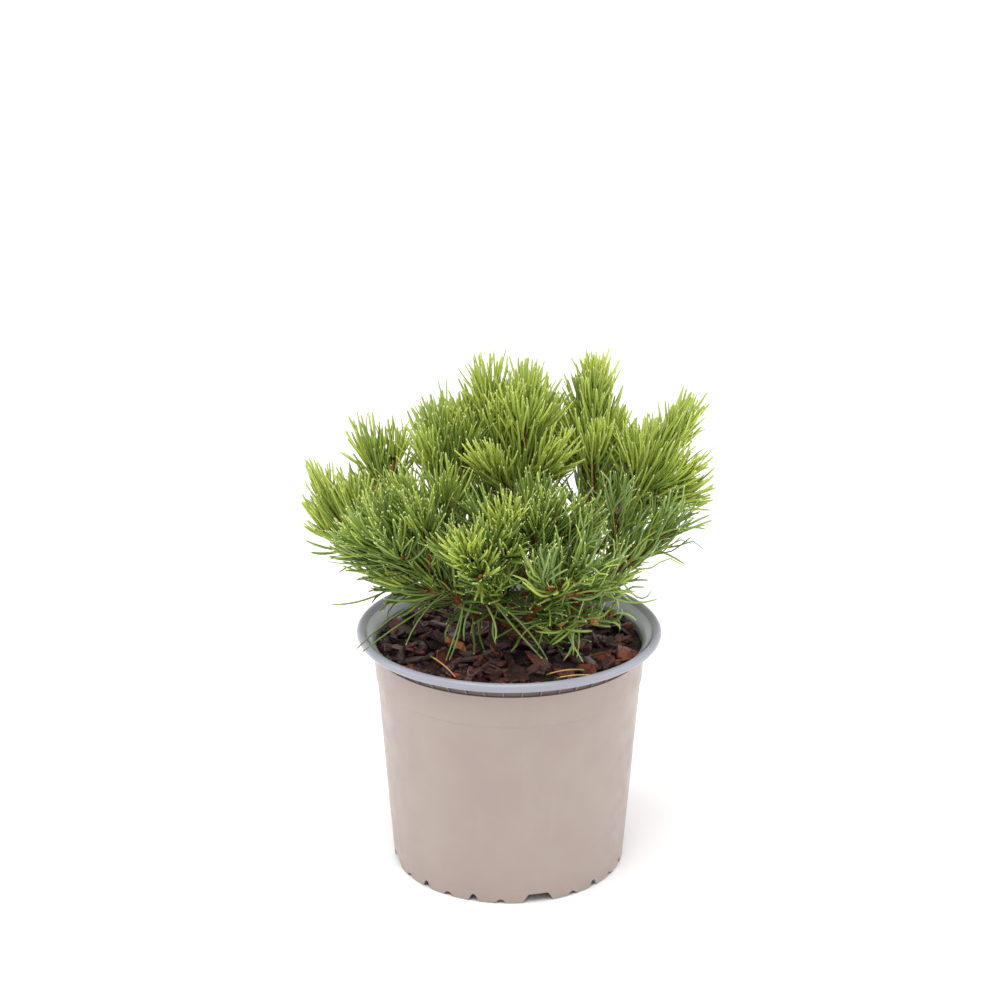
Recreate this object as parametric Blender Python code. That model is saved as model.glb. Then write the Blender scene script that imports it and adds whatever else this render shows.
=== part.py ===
"""A mugo pine standing in a round plastic nursery pot.

Sizes are in millimetres until a mesh is made. The pot's axis is the Z axis, the
pot stands on Z = 0 and the side seen in the photograph looks along -Y.
"""
import math
import random

import bmesh
import bpy
from mathutils import Matrix, Vector

MM = 0.001
CLEARANCE = 0.3

# Pot
POT_SIDES = 48
POT_HEIGHT = 155.3
POT_BASE_RADIUS = 73.2
POT_RIM_RADIUS = 95.0
POT_SKIRT_INNER_RADIUS = 71.4
POT_FLOOR_EDGE_RADIUS = 70.4
POT_FLOOR_UNDERSIDE = 6.5
POT_FLOOR_TOP = 8.0
COLLAR_STEP_HEIGHT = 122.4
COLLAR_STEP_RADIUS = 82.5
COLLAR_LEDGE = 0.8
COLLAR_TOP_HEIGHT = 141.0
COLLAR_TOP_RADIUS = 84.8
RECESS_RADIUS = 84.2
LIP_ROOT_HEIGHT = 147.0
LIP_EDGE = (93.6, 149.0)
LIP_FACE_BOTTOM = 150.6
LIP_FACE_TOP = 153.0
LIP_CREST_RADIUS = 92.6
LIP_SHOULDER = 0.8
FUNNEL = ((90.8, 154.5), (87.0, 148.5), (84.4, 144.5))
INNER_WALL_BOTTOM_RADIUS = 71.9
INNER_WALL_TOP_RADIUS = 82.9
INNER_WALL_TOP_HEIGHT = 139.0
NOTCHES_PER_QUARTER = 5
NOTCH_STEP = 13.4
NOTCH_WIDTH = 6.0
NOTCH_HEIGHTS = (2.4, 4.4)
NOTCH_SIDES = 4
DRAIN_COUNT = 4
DRAIN_TURN = 14.3
DRAIN_SPAN = 15.5
DRAIN_HEIGHT = 5.8
DRAIN_SLOPE = 3.2
FLOOR_HOLE_RADIUS = 4.5
FLOOR_HOLE_RING = 58.0
FLOOR_HOLE_SIDES = 12
BELOW_FOOT = 1.0
CUT_PAST = 2.0
NOTCH_REACH = (69.5, 77.0)
DRAIN_REACH = (67.5, 77.0)

# Growing medium and mulch
MEDIUM_SIDES = 36
MEDIUM_TOP = 128.0
MULCH_SECTORS = 24
MULCH_RINGS = 4
MULCH_TOP = 142.6
MULCH_RADIUS_LOW = 81.4
MULCH_RADIUS_HIGH = 82.6
MULCH_LUMP = 1.6
CHIP_COUNT = 30
CHIP_LENGTH = (9.0, 17.0)
CHIP_WIDTH = (6.0, 10.0)
CHIP_THICKNESS = 3.6
CHIP_TILT = 22.0
CHIP_RING = 72.0
CHIP_FREE_RADIUS = 17.0
MULCH_SEED = 5

# Trunk
TRUNK_FOOT = (-6.0, 0.0)
TRUNK_HEAD = (-3.0, 2.0)
TRUNK_BOTTOM = MULCH_TOP + CLEARANCE
TRUNK_TOP = 204.0
TRUNK_FOOT_RADIUS = 9.6
TRUNK_WAIST_RADIUS = 6.4
TRUNK_HEAD_RADIUS = 4.6
TRUNK_FLARE_HEIGHT = 9.0
TRUNK_SIDES = 12
TRUNK_RINGS = 7

# Boughs
BOUGH_FOOT_RADIUS = 2.7
BOUGH_END_RADIUS = 1.8
BOUGH_SIDES = 5
BOUGH_SET_OUT = 0.15
BOUGH_SEGMENTS = 8
BOUGH_SHARE = 0.5

# Shoots and sprays of needles
LEADER_RADIUS = 1.7
SHOOT_TIP_RADIUS = 1.0
SIDE_RADIUS = 1.3
STEM_SIDES = 3
STEM_SEGMENTS = 2
SPRAY_LENGTH = 38.0
SPRAY_LENGTH_SPREAD = 4.0
SPRAY_WIDTH = 11.0
SPRAY_THICKNESS = 1.6
SPRAY_NOTCH_WIDTH = 4.6
SPRAY_NOTCH_SHARE = 0.66
SPRAY_RIDGE_SHARE = 0.55
SPRAY_SIDE_SHARE = 0.86
SPRAY_TURN = 137.5
SPRAY_LOW_ANGLE = 44.0
SPRAY_TIP_ANGLE = 12.0
SPRAY_STEP = 8.6
SPRAYS_AT_TIP = 3
SPRAY_RUN = 78.0
BARE_FOOT = 9.0
SPRAY_MIN_SHARE = 0.5
SPACE_MARGIN = 2.6
LIMB_MARGIN = 5.2
SPACE_CHECKS = 9
UP_LIFT = 0.26
CROWN_SEED = 20

# Limits the crown's furthest needles reach
CROWN_HALF_WIDTH = 127.0
CROWN_HALF_DEPTH = 110.0
CROWN_TOP = 331.0
CROWN_FLOOR = 151.5
RIM_CLEAR_RADIUS = 76.0
RIM_CLEAR_HEIGHT = 4.0

# One row for each bough and the mass it carries: the height its bough leaves the
# trunk, where the bough ends, the tip of the leading shoot, and the whorls of side
# shoots as (share of the leader, number, compass turn of the first, spread, length).
# A share below zero counts back from where the leader straightens.
CROWN = {
    "upper_left": (199, (-8, 12, 250), (-13, 15, 299), [(0.22, 3, 175, 40, 24)]),
    "upper_middle": (TRUNK_TOP, (4, 2, 226), (11, -5, 302),
                     [(0.2, 2, -130, 60, 36), (0.28, 1, -40, 58, 33), (0.62, 3, 30, 32, 20)]),
    "upper_right": (188, (51, 5, 222), (50, 12, 306), [(0.34, 3, 30, 36, 26)]),
    "far_right": (174, (76, 3, 236), (102, 10, 277),
                  [(0.0, 1, -10, 70, 32), (0.12, 3, -30, 50, 28)]),
    "low_right": (165, (62, -24, 196), (92, -30, 224),
                  [(-0.5, 1, 60, 50, 30), (0.14, 1, 165, 52, 36), (0.3, 1, 75, 45, 30)]),
    "left_of_middle": (193, (-34, 0, 232), (-42, 0, 278), [(0.3, 3, 0, 40, 27)]),
    "upper_far_left": (179, (-72, 14, 228), (-85, 21, 258), [(0.3, 1, 0, 38, 22)]),
    "far_left": (171, (-88, -3, 203), (-115, 10, 235), [(0.15, 3, 200, 46, 27)]),
    "front_left_upper": (186, (-38, -28, 216), (-56, -35, 243), [(0.3, 3, 10, 46, 25)]),
    "front_left": (163, (-48, -44, 206), (-78, -58, 229),
                   [(-0.5, 1, 185, 48, 27), (0.05, 2, 175, 46, 36), (0.5, 3, 60, 46, 22)]),
    "front_middle": (179, (-2, -44, 214), (-2, -62, 242), [(0.2, 3, 30, 46, 25)]),
    "front_right": (192, (17, -36, 212), (25, -46, 240), [(0.2, 3, 0, 46, 26)]),
    "front_low": (170, (-13, -58, 206), (-25, -84, 231), [(0.3, 3, 30, 44, 24)]),
    "front_low_right": (159, (27, -56, 199), (38, -74, 214), [(0.1, 3, 90, 50, 27)]),
    "lowest_right": (152, (34, -38, 170), (49, -55, 180), [(0.1, 3, 0, 52, 26)]),
    "back_right": (181, (58, 38, 220), (84, 52, 247), [(0.25, 3, 70, 46, 28)]),
    "back_middle": (194, (18, 44, 226), (25, 60, 262), [(0.3, 3, 30, 44, 28)]),
    "back_left": (187, (-31, 48, 218), (-37, 66, 251), [(0.3, 3, 0, 38, 27)]),
    "back_low_left": (165, (-62, 52, 188), (-88, 68, 208), [(0.25, 3, 40, 46, 28)]),
    "back_low_right": (163, (48, 62, 190), (70, 84, 214), [(0.25, 3, 20, 46, 28)]),
    "back_low": (172, (-6, 66, 196), (-8, 90, 222), [(0.25, 3, 50, 46, 28)]),
}


def clear_scene():
    """Remove every object the file starts with."""
    for item in list(bpy.data.objects):
        bpy.data.objects.remove(item, do_unlink=True)


def make_material(name, colour, roughness):
    """A plain Principled material."""
    material = bpy.data.materials.new(name)
    material.use_nodes = True
    shader = material.node_tree.nodes["Principled BSDF"]
    shader.inputs["Base Color"].default_value = (*colour, 1.0)
    shader.inputs["Roughness"].default_value = roughness
    shader.inputs["Metallic"].default_value = 0.0
    material.diffuse_color = (*colour, 1.0)
    return material


def make_object(name, points, faces, material=None):
    """A mesh object from points in millimetres."""
    mesh = bpy.data.meshes.new(name)
    mesh.from_pydata([tuple(Vector(point) * MM) for point in points], [], faces)
    mesh.validate()
    shape = bmesh.new()
    shape.from_mesh(mesh)
    bmesh.ops.recalc_face_normals(shape, faces=shape.faces)
    shape.to_mesh(mesh)
    shape.free()
    if material:
        mesh.materials.append(material)
    item = bpy.data.objects.new(name, mesh)
    bpy.context.scene.collection.objects.link(item)
    return item


def revolve(name, profile, sides, material=None):
    """Turn a closed (radius, height) profile about the Z axis."""
    points = []
    rings = []
    for radius, height in profile:
        if radius == 0.0:
            rings.append([len(points)] * sides)
            points.append((0.0, 0.0, height))
            continue
        rings.append(list(range(len(points), len(points) + sides)))
        for step in range(sides):
            angle = 2.0 * math.pi * step / sides
            points.append((radius * math.cos(angle), radius * math.sin(angle), height))
    faces = []
    for index, low in enumerate(rings):
        high = rings[(index + 1) % len(rings)]
        for step in range(sides):
            following = (step + 1) % sides
            corners = [low[step], low[following], high[following], high[step]]
            face = list(dict.fromkeys(corners))
            if len(face) > 2:
                faces.append(face)
    return make_object(name, points, faces, material)


def tube(name, path, radii, sides, material=None, facing=None):
    """A closed tube along a path; facing turns its first flat end."""
    points = []
    side_axis = None
    count = len(path)
    for index, centre in enumerate(path):
        before = path[max(index - 1, 0)]
        after = path[min(index + 1, count - 1)]
        along = (after - before).normalized()
        if index == 0 and facing:
            along = facing
        if side_axis is None:
            helper = Vector((0, 0, 1)) if abs(along.z) < 0.9 else Vector((1, 0, 0))
            side_axis = along.cross(helper)
        side_axis = (side_axis - along * side_axis.dot(along)).normalized()
        other_axis = along.cross(side_axis)
        for step in range(sides):
            angle = 2.0 * math.pi * step / sides
            offset = side_axis * math.cos(angle) + other_axis * math.sin(angle)
            points.append(centre + offset * radii[index])
    faces = [list(range(sides)), list(range((count - 1) * sides, count * sides))]
    for ring in range(count - 1):
        for step in range(sides):
            following = (step + 1) % sides
            low = ring * sides
            high = low + sides
            faces.append([low + step, low + following, high + following, high + step])
    return make_object(name, points, faces, material)


def blend(low, high, share):
    """The value a share of the way from low to high."""
    return low + (high - low) * share


def curve(start, start_pull, end_pull, end, segments):
    """Points along a cubic curve."""
    path = []
    for step in range(segments + 1):
        share = step / segments
        rest = 1.0 - share
        point = start * rest ** 3 + start_pull * (3 * rest ** 2 * share)
        point = point + end_pull * (3 * rest * share ** 2) + end * share ** 3
        path.append(point)
    return path


def point_on(path, share):
    """The point and direction a share of the way along a path, by length."""
    lengths = [(path[i + 1] - path[i]).length for i in range(len(path) - 1)]
    goal = share * sum(lengths)
    for index, length in enumerate(lengths):
        if goal <= length or index == len(lengths) - 1:
            along = (path[index + 1] - path[index]).normalized()
            return path[index] + along * goal, along
        goal -= length
    return path[-1], (path[-1] - path[-2]).normalized()


def path_length(path):
    """The length of a path."""
    return sum((path[i + 1] - path[i]).length for i in range(len(path) - 1))


def distance_to_path(point, path):
    """The least distance from a point to a path."""
    least = math.inf
    for index in range(len(path) - 1):
        start = path[index]
        along = path[index + 1] - start
        share = (point - start).dot(along) / along.length_squared
        share = min(max(share, 0.0), 1.0)
        least = min(least, (point - start - along * share).length)
    return least


def pot_profile():
    """The pot's section as (radius, height), once round its wall, lip and floor."""
    return [
        (POT_BASE_RADIUS, 0.0),
        (COLLAR_STEP_RADIUS, COLLAR_STEP_HEIGHT),
        (COLLAR_STEP_RADIUS + COLLAR_LEDGE, COLLAR_STEP_HEIGHT + COLLAR_LEDGE),
        (COLLAR_TOP_RADIUS, COLLAR_TOP_HEIGHT),
        (RECESS_RADIUS, COLLAR_TOP_HEIGHT + COLLAR_LEDGE),
        (COLLAR_TOP_RADIUS, LIP_ROOT_HEIGHT),
        LIP_EDGE,
        (POT_RIM_RADIUS, LIP_FACE_BOTTOM),
        (POT_RIM_RADIUS, LIP_FACE_TOP),
        (POT_RIM_RADIUS - LIP_SHOULDER, POT_HEIGHT - LIP_SHOULDER),
        (LIP_CREST_RADIUS, POT_HEIGHT),
        *FUNNEL,
        (INNER_WALL_TOP_RADIUS, INNER_WALL_TOP_HEIGHT),
        (INNER_WALL_BOTTOM_RADIUS, POT_FLOOR_TOP),
        (0.0, POT_FLOOR_TOP),
        (0.0, POT_FLOOR_UNDERSIDE),
        (POT_FLOOR_EDGE_RADIUS, POT_FLOOR_UNDERSIDE),
        (POT_SKIRT_INNER_RADIUS, 0.0),
    ]


def turned(radius, across, height, turn):
    """A point at a radius on the photographed side, turned about the pot's axis."""
    place = Vector((across, -radius, height))
    return Matrix.Rotation(math.radians(turn), 3, "Z") @ place


def prism(section, turn, near, far, points, faces):
    """Add a radial prism whose (across, height) section faces outward."""
    first = len(points)
    count = len(section)
    for radius in (near, far):
        for across, height in section:
            points.append(turned(radius, across, height, turn))
    faces.append(list(range(first, first + count)))
    faces.append(list(range(first + count, first + 2 * count)))
    for step in range(count):
        following = (step + 1) % count
        low = first + step
        faces.append([low, first + following, first + following + count, low + count])


def notch_section(rise):
    """A half-round notch, as (across, height) points that pass below the foot."""
    section = [(-NOTCH_WIDTH / 2, -BELOW_FOOT)]
    for step in range(NOTCH_SIDES + 1):
        angle = math.pi * (1.0 - step / NOTCH_SIDES)
        section.append((NOTCH_WIDTH / 2 * math.cos(angle), rise * math.sin(angle)))
    section.append((NOTCH_WIDTH / 2, -BELOW_FOOT))
    return section


def drain_section():
    """A wide drainage notch with sloping sides."""
    half = POT_BASE_RADIUS * math.radians(DRAIN_SPAN) / 2
    flare = DRAIN_SLOPE * BELOW_FOOT / DRAIN_HEIGHT
    return [
        (-half - flare, -BELOW_FOOT),
        (-half + DRAIN_SLOPE, DRAIN_HEIGHT),
        (half - DRAIN_SLOPE, DRAIN_HEIGHT),
        (half + flare, -BELOW_FOOT),
    ]


def drain_turns():
    """The turns of the wide drainage notches, in degrees."""
    return [DRAIN_TURN + 360.0 * step / DRAIN_COUNT for step in range(DRAIN_COUNT)]


def notch_turns():
    """(turn, height) of the small notches: low and tall by turns between two drains."""
    notches = []
    for drain in drain_turns():
        middle = drain + 180.0 / DRAIN_COUNT
        for step in range(NOTCHES_PER_QUARTER):
            turn = middle + NOTCH_STEP * (step - (NOTCHES_PER_QUARTER - 1) / 2)
            notches.append((turn, NOTCH_HEIGHTS[step % 2]))
    return notches


def floor_hole(turn, points, faces):
    """Add the cutter of one round hole in the floor, behind a drainage notch."""
    centre = turned(FLOOR_HOLE_RING, 0.0, 0.0, turn)
    first = len(points)
    for height in (POT_FLOOR_UNDERSIDE - CUT_PAST, POT_FLOOR_TOP + CUT_PAST):
        for step in range(FLOOR_HOLE_SIDES):
            angle = 2.0 * math.pi * step / FLOOR_HOLE_SIDES
            x = centre.x + FLOOR_HOLE_RADIUS * math.cos(angle)
            y = centre.y + FLOOR_HOLE_RADIUS * math.sin(angle)
            points.append((x, y, height))
    low = list(range(first, first + FLOOR_HOLE_SIDES))
    high = [index + FLOOR_HOLE_SIDES for index in low]
    faces.append(low)
    faces.append(high)
    for step in range(FLOOR_HOLE_SIDES):
        following = (step + 1) % FLOOR_HOLE_SIDES
        faces.append([low[step], low[following], high[following], high[step]])


def build_pot(material):
    """The pot: revolved wall and lip, notched foot and drained floor."""
    pot = revolve("pot", pot_profile(), POT_SIDES, material)
    points = []
    faces = []
    for turn, rise in notch_turns():
        prism(notch_section(rise), turn, NOTCH_REACH[0], NOTCH_REACH[1], points, faces)
    for turn in drain_turns():
        prism(drain_section(), turn, DRAIN_REACH[0], DRAIN_REACH[1], points, faces)
        floor_hole(turn, points, faces)
    cutter = make_object("pot_foot_cutter", points, faces)
    cutter.hide_render = True
    cutter.display_type = "WIRE"
    cut = pot.modifiers.new("foot_notches", "BOOLEAN")
    cut.operation = "DIFFERENCE"
    cut.object = cutter
    cut.solver = "EXACT"
    pot.data.shade_smooth()
    pot.data.set_sharp_from_angle(angle=math.radians(25))
    return pot


def build_medium(material):
    """The peat that fills the pot, clear of its wall."""
    low = POT_FLOOR_TOP + CLEARANCE
    slope = INNER_WALL_TOP_RADIUS - INNER_WALL_BOTTOM_RADIUS
    slope /= INNER_WALL_TOP_HEIGHT - POT_FLOOR_TOP
    low_radius = INNER_WALL_BOTTOM_RADIUS + slope * CLEARANCE - 0.5
    high_radius = INNER_WALL_BOTTOM_RADIUS + slope * (MEDIUM_TOP - POT_FLOOR_TOP) - 0.5
    profile = [(0.0, low), (low_radius, low), (high_radius, MEDIUM_TOP), (0.0, MEDIUM_TOP)]
    return revolve("growing_medium", profile, MEDIUM_SIDES, material)


def mulch_bed(rng, material):
    """A low disc with a lumpy top, flat where the trunk stands."""
    low = MEDIUM_TOP + CLEARANCE
    points = [(0.0, 0.0, low), (0.0, 0.0, MULCH_TOP)]
    faces = []
    rings = []
    for ring in range(MULCH_RINGS + 1):
        share = ring / MULCH_RINGS
        radius = blend(CHIP_FREE_RADIUS, MULCH_RADIUS_HIGH, share)
        lump = MULCH_LUMP if ring else 0.0
        rings.append(list(range(len(points), len(points) + MULCH_SECTORS)))
        for step in range(MULCH_SECTORS):
            angle = 2.0 * math.pi * step / MULCH_SECTORS
            height = MULCH_TOP + lump * rng.uniform(-1.0, 1.0)
            points.append((radius * math.cos(angle), radius * math.sin(angle), height))
    rings.append(list(range(len(points), len(points) + MULCH_SECTORS)))
    for step in range(MULCH_SECTORS):
        angle = 2.0 * math.pi * step / MULCH_SECTORS
        x = MULCH_RADIUS_LOW * math.cos(angle)
        y = MULCH_RADIUS_LOW * math.sin(angle)
        points.append((x, y, low))
    for step in range(MULCH_SECTORS):
        following = (step + 1) % MULCH_SECTORS
        faces.append([1, rings[0][step], rings[0][following]])
        faces.append([0, rings[-1][following], rings[-1][step]])
        for index in range(len(rings) - 1):
            inner = rings[index]
            outer = rings[index + 1]
            faces.append([inner[step], outer[step], outer[following]])
            faces.append([inner[step], outer[following], inner[following]])
    return make_object("bark_mulch", points, faces, material)


def bark_chip(rng):
    """One flake of bark, tilted, half sunk in the bed."""
    radius = CHIP_RING * math.sqrt(rng.random())
    angle = rng.uniform(0.0, 2.0 * math.pi)
    centre = Vector((radius * math.cos(angle), radius * math.sin(angle), MULCH_TOP + 1.4))
    if (centre.xy - Vector(TRUNK_FOOT)).length < CHIP_FREE_RADIUS + CHIP_LENGTH[1] / 2:
        return None
    length = rng.uniform(*CHIP_LENGTH) / 2
    width = rng.uniform(*CHIP_WIDTH) / 2
    thick = CHIP_THICKNESS / 2
    turn = Matrix.Rotation(rng.uniform(0.0, math.pi), 3, "Z")
    tilt = Matrix.Rotation(math.radians(rng.uniform(-CHIP_TILT, CHIP_TILT)), 3, "X")
    roll = Matrix.Rotation(math.radians(rng.uniform(-CHIP_TILT, CHIP_TILT)), 3, "Y")
    points = []
    for up in (-thick, thick):
        for side, along in ((-1, -1), (1, -0.6), (0.8, 1), (-0.9, 0.8)):
            corner = Vector((along * length, side * width, up))
            points.append(centre + turn @ tilt @ roll @ corner)
    faces = [[3, 2, 1, 0], [4, 5, 6, 7]]
    for step in range(4):
        following = (step + 1) % 4
        faces.append([step, following, following + 4, step + 4])
    return make_object("chip", points, faces)


def join(host, pieces):
    """Fuse a collection of pieces into the host by one Boolean union."""
    group = bpy.data.collections.new(host.name + "_pieces")
    bpy.context.scene.collection.children.link(group)
    for piece in pieces:
        group.objects.link(piece)
        bpy.context.scene.collection.objects.unlink(piece)
    fuse = host.modifiers.new("fuse", "BOOLEAN")
    fuse.operation = "UNION"
    fuse.operand_type = "COLLECTION"
    fuse.collection = group
    fuse.solver = "EXACT"
    bpy.context.view_layer.update()
    graph = bpy.context.evaluated_depsgraph_get()
    fused = bpy.data.meshes.new_from_object(host.evaluated_get(graph), depsgraph=graph)
    host.modifiers.remove(fuse)
    host.data = fused
    for piece in pieces:
        bpy.data.objects.remove(piece, do_unlink=True)
    bpy.data.collections.remove(group)
    return host


def build_mulch(material):
    """The bark mulch: a lumpy bed with flakes fused on."""
    rng = random.Random(MULCH_SEED)
    bed = mulch_bed(rng, material)
    chips = []
    while len(chips) < CHIP_COUNT:
        chip = bark_chip(rng)
        if chip:
            chips.append(chip)
    return join(bed, chips)


def trunk_centre(height):
    """The trunk's centre at a height."""
    share = (height - TRUNK_BOTTOM) / (TRUNK_TOP - TRUNK_BOTTOM)
    bow = 1.6 * math.sin(math.pi * share)
    x = blend(TRUNK_FOOT[0], TRUNK_HEAD[0], share) - bow
    y = blend(TRUNK_FOOT[1], TRUNK_HEAD[1], share)
    return Vector((x, y, height))


def trunk_radius(height):
    """The trunk's radius at a height: flared foot, then an even taper."""
    rise = height - TRUNK_BOTTOM
    share = rise / (TRUNK_TOP - TRUNK_BOTTOM)
    flare = max(0.0, 1.0 - rise / TRUNK_FLARE_HEIGHT) ** 2
    even = blend(TRUNK_WAIST_RADIUS, TRUNK_HEAD_RADIUS, share)
    return even + (TRUNK_FOOT_RADIUS - TRUNK_WAIST_RADIUS) * flare


def build_trunk(material):
    """The short trunk, cut flat at the mulch."""
    heights = [TRUNK_BOTTOM, TRUNK_BOTTOM + TRUNK_FLARE_HEIGHT * 0.35]
    for step in range(TRUNK_RINGS - 1):
        share = step / (TRUNK_RINGS - 2)
        heights.append(blend(TRUNK_BOTTOM + TRUNK_FLARE_HEIGHT, TRUNK_TOP, share))
    points = []
    for height in heights:
        centre = trunk_centre(height)
        radius = trunk_radius(height)
        for step in range(TRUNK_SIDES):
            angle = 2.0 * math.pi * step / TRUNK_SIDES
            x = centre.x + radius * math.cos(angle)
            y = centre.y + radius * math.sin(angle)
            points.append((x, y, height))
    count = len(heights)
    faces = [list(range(TRUNK_SIDES)), list(range((count - 1) * TRUNK_SIDES, count * TRUNK_SIDES))]
    for ring in range(count - 1):
        for step in range(TRUNK_SIDES):
            following = (step + 1) % TRUNK_SIDES
            low = ring * TRUNK_SIDES
            high = low + TRUNK_SIDES
            faces.append([low + step, low + following, high + following, high + step])
    return make_object("trunk", points, faces, material)


def bough_heading(row):
    """The direction in which a bough leaves the trunk."""
    foot_height, end, _tip, _whorls = row
    if foot_height >= TRUNK_TOP:
        return Vector((0, 0, 1))
    centre = trunk_centre(foot_height)
    return Vector((end[0] - centre.x, end[1] - centre.y, 0.0)).normalized()


def whole_path(row):
    """The line from just clear of the trunk to where the leading shoot begins."""
    foot_height, end, tip, _whorls = row
    end = Vector(end)
    lead = (Vector(tip) - end).normalized()
    outward = bough_heading(row)
    start = trunk_centre(min(foot_height, TRUNK_TOP))
    if foot_height >= TRUNK_TOP:
        start = start + outward * CLEARANCE
    else:
        start = start + outward * (trunk_radius(foot_height) + CLEARANCE + BOUGH_SET_OUT)
    reach = (end - start).length
    start_pull = start + outward * reach * 0.34
    end_pull = end - lead * reach * 0.36
    return curve(start, start_pull, end_pull, end, BOUGH_SEGMENTS)


def bough_path(row):
    """A bough's centre line: the first share of the whole line."""
    path = whole_path(row)
    return path[:round(BOUGH_SEGMENTS * BOUGH_SHARE) + 1]


def build_bough(name, row, material):
    """One tapering limb."""
    path = bough_path(row)
    count = len(path)
    radii = [blend(BOUGH_FOOT_RADIUS, BOUGH_END_RADIUS, i / (count - 1)) for i in range(count)]
    return tube("bough_" + name, path, radii, BOUGH_SIDES, material, bough_heading(row))


def mass_stems(row):
    """The centre lines of a mass: the leader first, then its side shoots."""
    _foot, end, tip, whorls = row
    end = Vector(end)
    tip = Vector(tip)
    lead = (tip - end).normalized()
    lower = whole_path(row)[round(BOUGH_SEGMENTS * BOUGH_SHARE):]
    start = lower[0] + (lower[1] - lower[0]).normalized() * CLEARANCE
    stems = [[start] + lower[2::2] + [end.lerp(tip, 0.5), tip]]
    for share, number, turn, spread, length in whorls:
        if share < 0.0:
            base, _along = point_on(lower, 1.0 + share)
        else:
            base = end.lerp(tip, share)
        for step in range(number):
            angle = math.radians(turn + 360.0 * step / number)
            outward = Vector((math.cos(angle), math.sin(angle), 0.0))
            outward = (outward - lead * outward.dot(lead)).normalized()
            wide = math.radians(spread)
            heading = lead * math.cos(wide) + outward * math.sin(wide)
            heading = (heading + Vector((0, 0, UP_LIFT))).normalized()
            side_tip = base + heading * length
            bend = base + (lead * 0.3 + outward * 0.7).normalized() * length * 0.3
            stems.append(curve(base, bend, blend(bend, side_tip, 0.5), side_tip, STEM_SEGMENTS))
    return stems


def spray_lines(stem, rng):
    """Where the sprays of one shoot stand: (base, tip, side) for each."""
    length = path_length(stem)
    run = min(SPRAY_RUN, length - BARE_FOOT)
    along_stem = max(2, round(run / SPRAY_STEP))
    lines = []
    phase = rng.uniform(0.0, 360.0)
    total = along_stem + SPRAYS_AT_TIP
    for index in range(total):
        near_tip = index >= along_stem
        if near_tip:
            share = 1.0 - 0.05 * (index - along_stem)
            angle = SPRAY_TIP_ANGLE + rng.uniform(-3.0, 3.0)
        else:
            rise = (index + rng.uniform(0.0, 0.6)) / along_stem
            share = (length - run + run * rise * 0.92) / length
            angle = blend(SPRAY_LOW_ANGLE, SPRAY_TIP_ANGLE + 8.0, rise) + rng.uniform(-5.0, 5.0)
        base, along = point_on(stem, min(share, 0.985))
        turn = math.radians(phase + SPRAY_TURN * index + rng.uniform(-14.0, 14.0))
        helper = Vector((0, 0, 1)) if abs(along.z) < 0.9 else Vector((1, 0, 0))
        first = along.cross(helper).normalized()
        second = along.cross(first)
        outward = first * math.cos(turn) + second * math.sin(turn)
        wide = math.radians(angle)
        heading = along * math.cos(wide) + outward * math.sin(wide)
        reach = SPRAY_LENGTH + rng.uniform(-1.0, 1.0) * SPRAY_LENGTH_SPREAD
        if near_tip:
            reach *= 0.86
        lines.append((base, base + heading * reach, along.cross(outward).normalized()))
    return lines


def in_bounds(point):
    """Whether a point is inside the crown's limits and clear of the pot and mulch."""
    if abs(point.x) > CROWN_HALF_WIDTH or abs(point.y) > CROWN_HALF_DEPTH:
        return False
    if point.z > CROWN_TOP or point.z < CROWN_FLOOR:
        return False
    radius = point.xy.length
    return not (radius > RIM_CLEAR_RADIUS and point.z < POT_HEIGHT + RIM_CLEAR_HEIGHT)


def is_free(point, own, others, limbs):
    """Whether a point is in its own mass's space and clear of every limb."""
    if not in_bounds(point):
        return False
    own_distance = min(distance_to_path(point, stem) for stem in own)
    for stem in others:
        if distance_to_path(point, stem) - own_distance < SPACE_MARGIN:
            return False
    for limb in limbs:
        if distance_to_path(point, limb) < LIMB_MARGIN:
            return False
    return True


def free_share(base, tip, side, own, others, limbs):
    """The share of a spray's length that stays in its own mass's space."""
    for index in range(1, SPACE_CHECKS + 1):
        share = index / SPACE_CHECKS
        point = base.lerp(tip, share)
        half = SPRAY_WIDTH / 2 * min(share / SPRAY_SIDE_SHARE, 1.0)
        for offset in (0.0, half, -half):
            if not is_free(point + side * offset, own, others, limbs):
                return (index - 1) / SPACE_CHECKS
    return 1.0


def spray_blade(base, tip, side):
    """A thin blade with three teeth that stands for a spray of needles."""
    along = (tip - base).normalized()
    ridge = base.lerp(tip, SPRAY_RIDGE_SHARE) + along.cross(side).normalized() * SPRAY_THICKNESS
    shoulder = base.lerp(tip, SPRAY_SIDE_SHARE)
    notch = base.lerp(tip, SPRAY_NOTCH_SHARE)
    outline = [
        base,
        shoulder - side * SPRAY_WIDTH / 2,
        notch - side * SPRAY_NOTCH_WIDTH / 2,
        tip,
        notch + side * SPRAY_NOTCH_WIDTH / 2,
        shoulder + side * SPRAY_WIDTH / 2,
    ]
    count = len(outline)
    faces = [list(range(count))]
    faces += [[step, (step + 1) % count, count] for step in range(count)]
    return make_object("spray", outline + [ridge], faces)


def build_mass(name, own, others, limbs, rng, material):
    """One mass of foliage: twigs and sprays fused into a single solid."""
    host = None
    pieces = []
    for index, stem in enumerate(own):
        foot = LEADER_RADIUS if index == 0 else SIDE_RADIUS
        count = len(stem)
        radii = [blend(foot, SHOOT_TIP_RADIUS, i / (count - 1)) for i in range(count)]
        if index == 0:
            host = tube("foliage_" + name, stem, radii, STEM_SIDES, material)
        else:
            pieces.append(tube("twig", stem, radii, STEM_SIDES))
    for stem in own:
        for base, tip, side in spray_lines(stem, rng):
            share = free_share(base, tip, side, own, others, limbs)
            if share >= SPRAY_MIN_SHARE:
                pieces.append(spray_blade(base, base.lerp(tip, share), side))
    print("mass", name, "pieces", len(pieces))
    return join(host, pieces)


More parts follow.
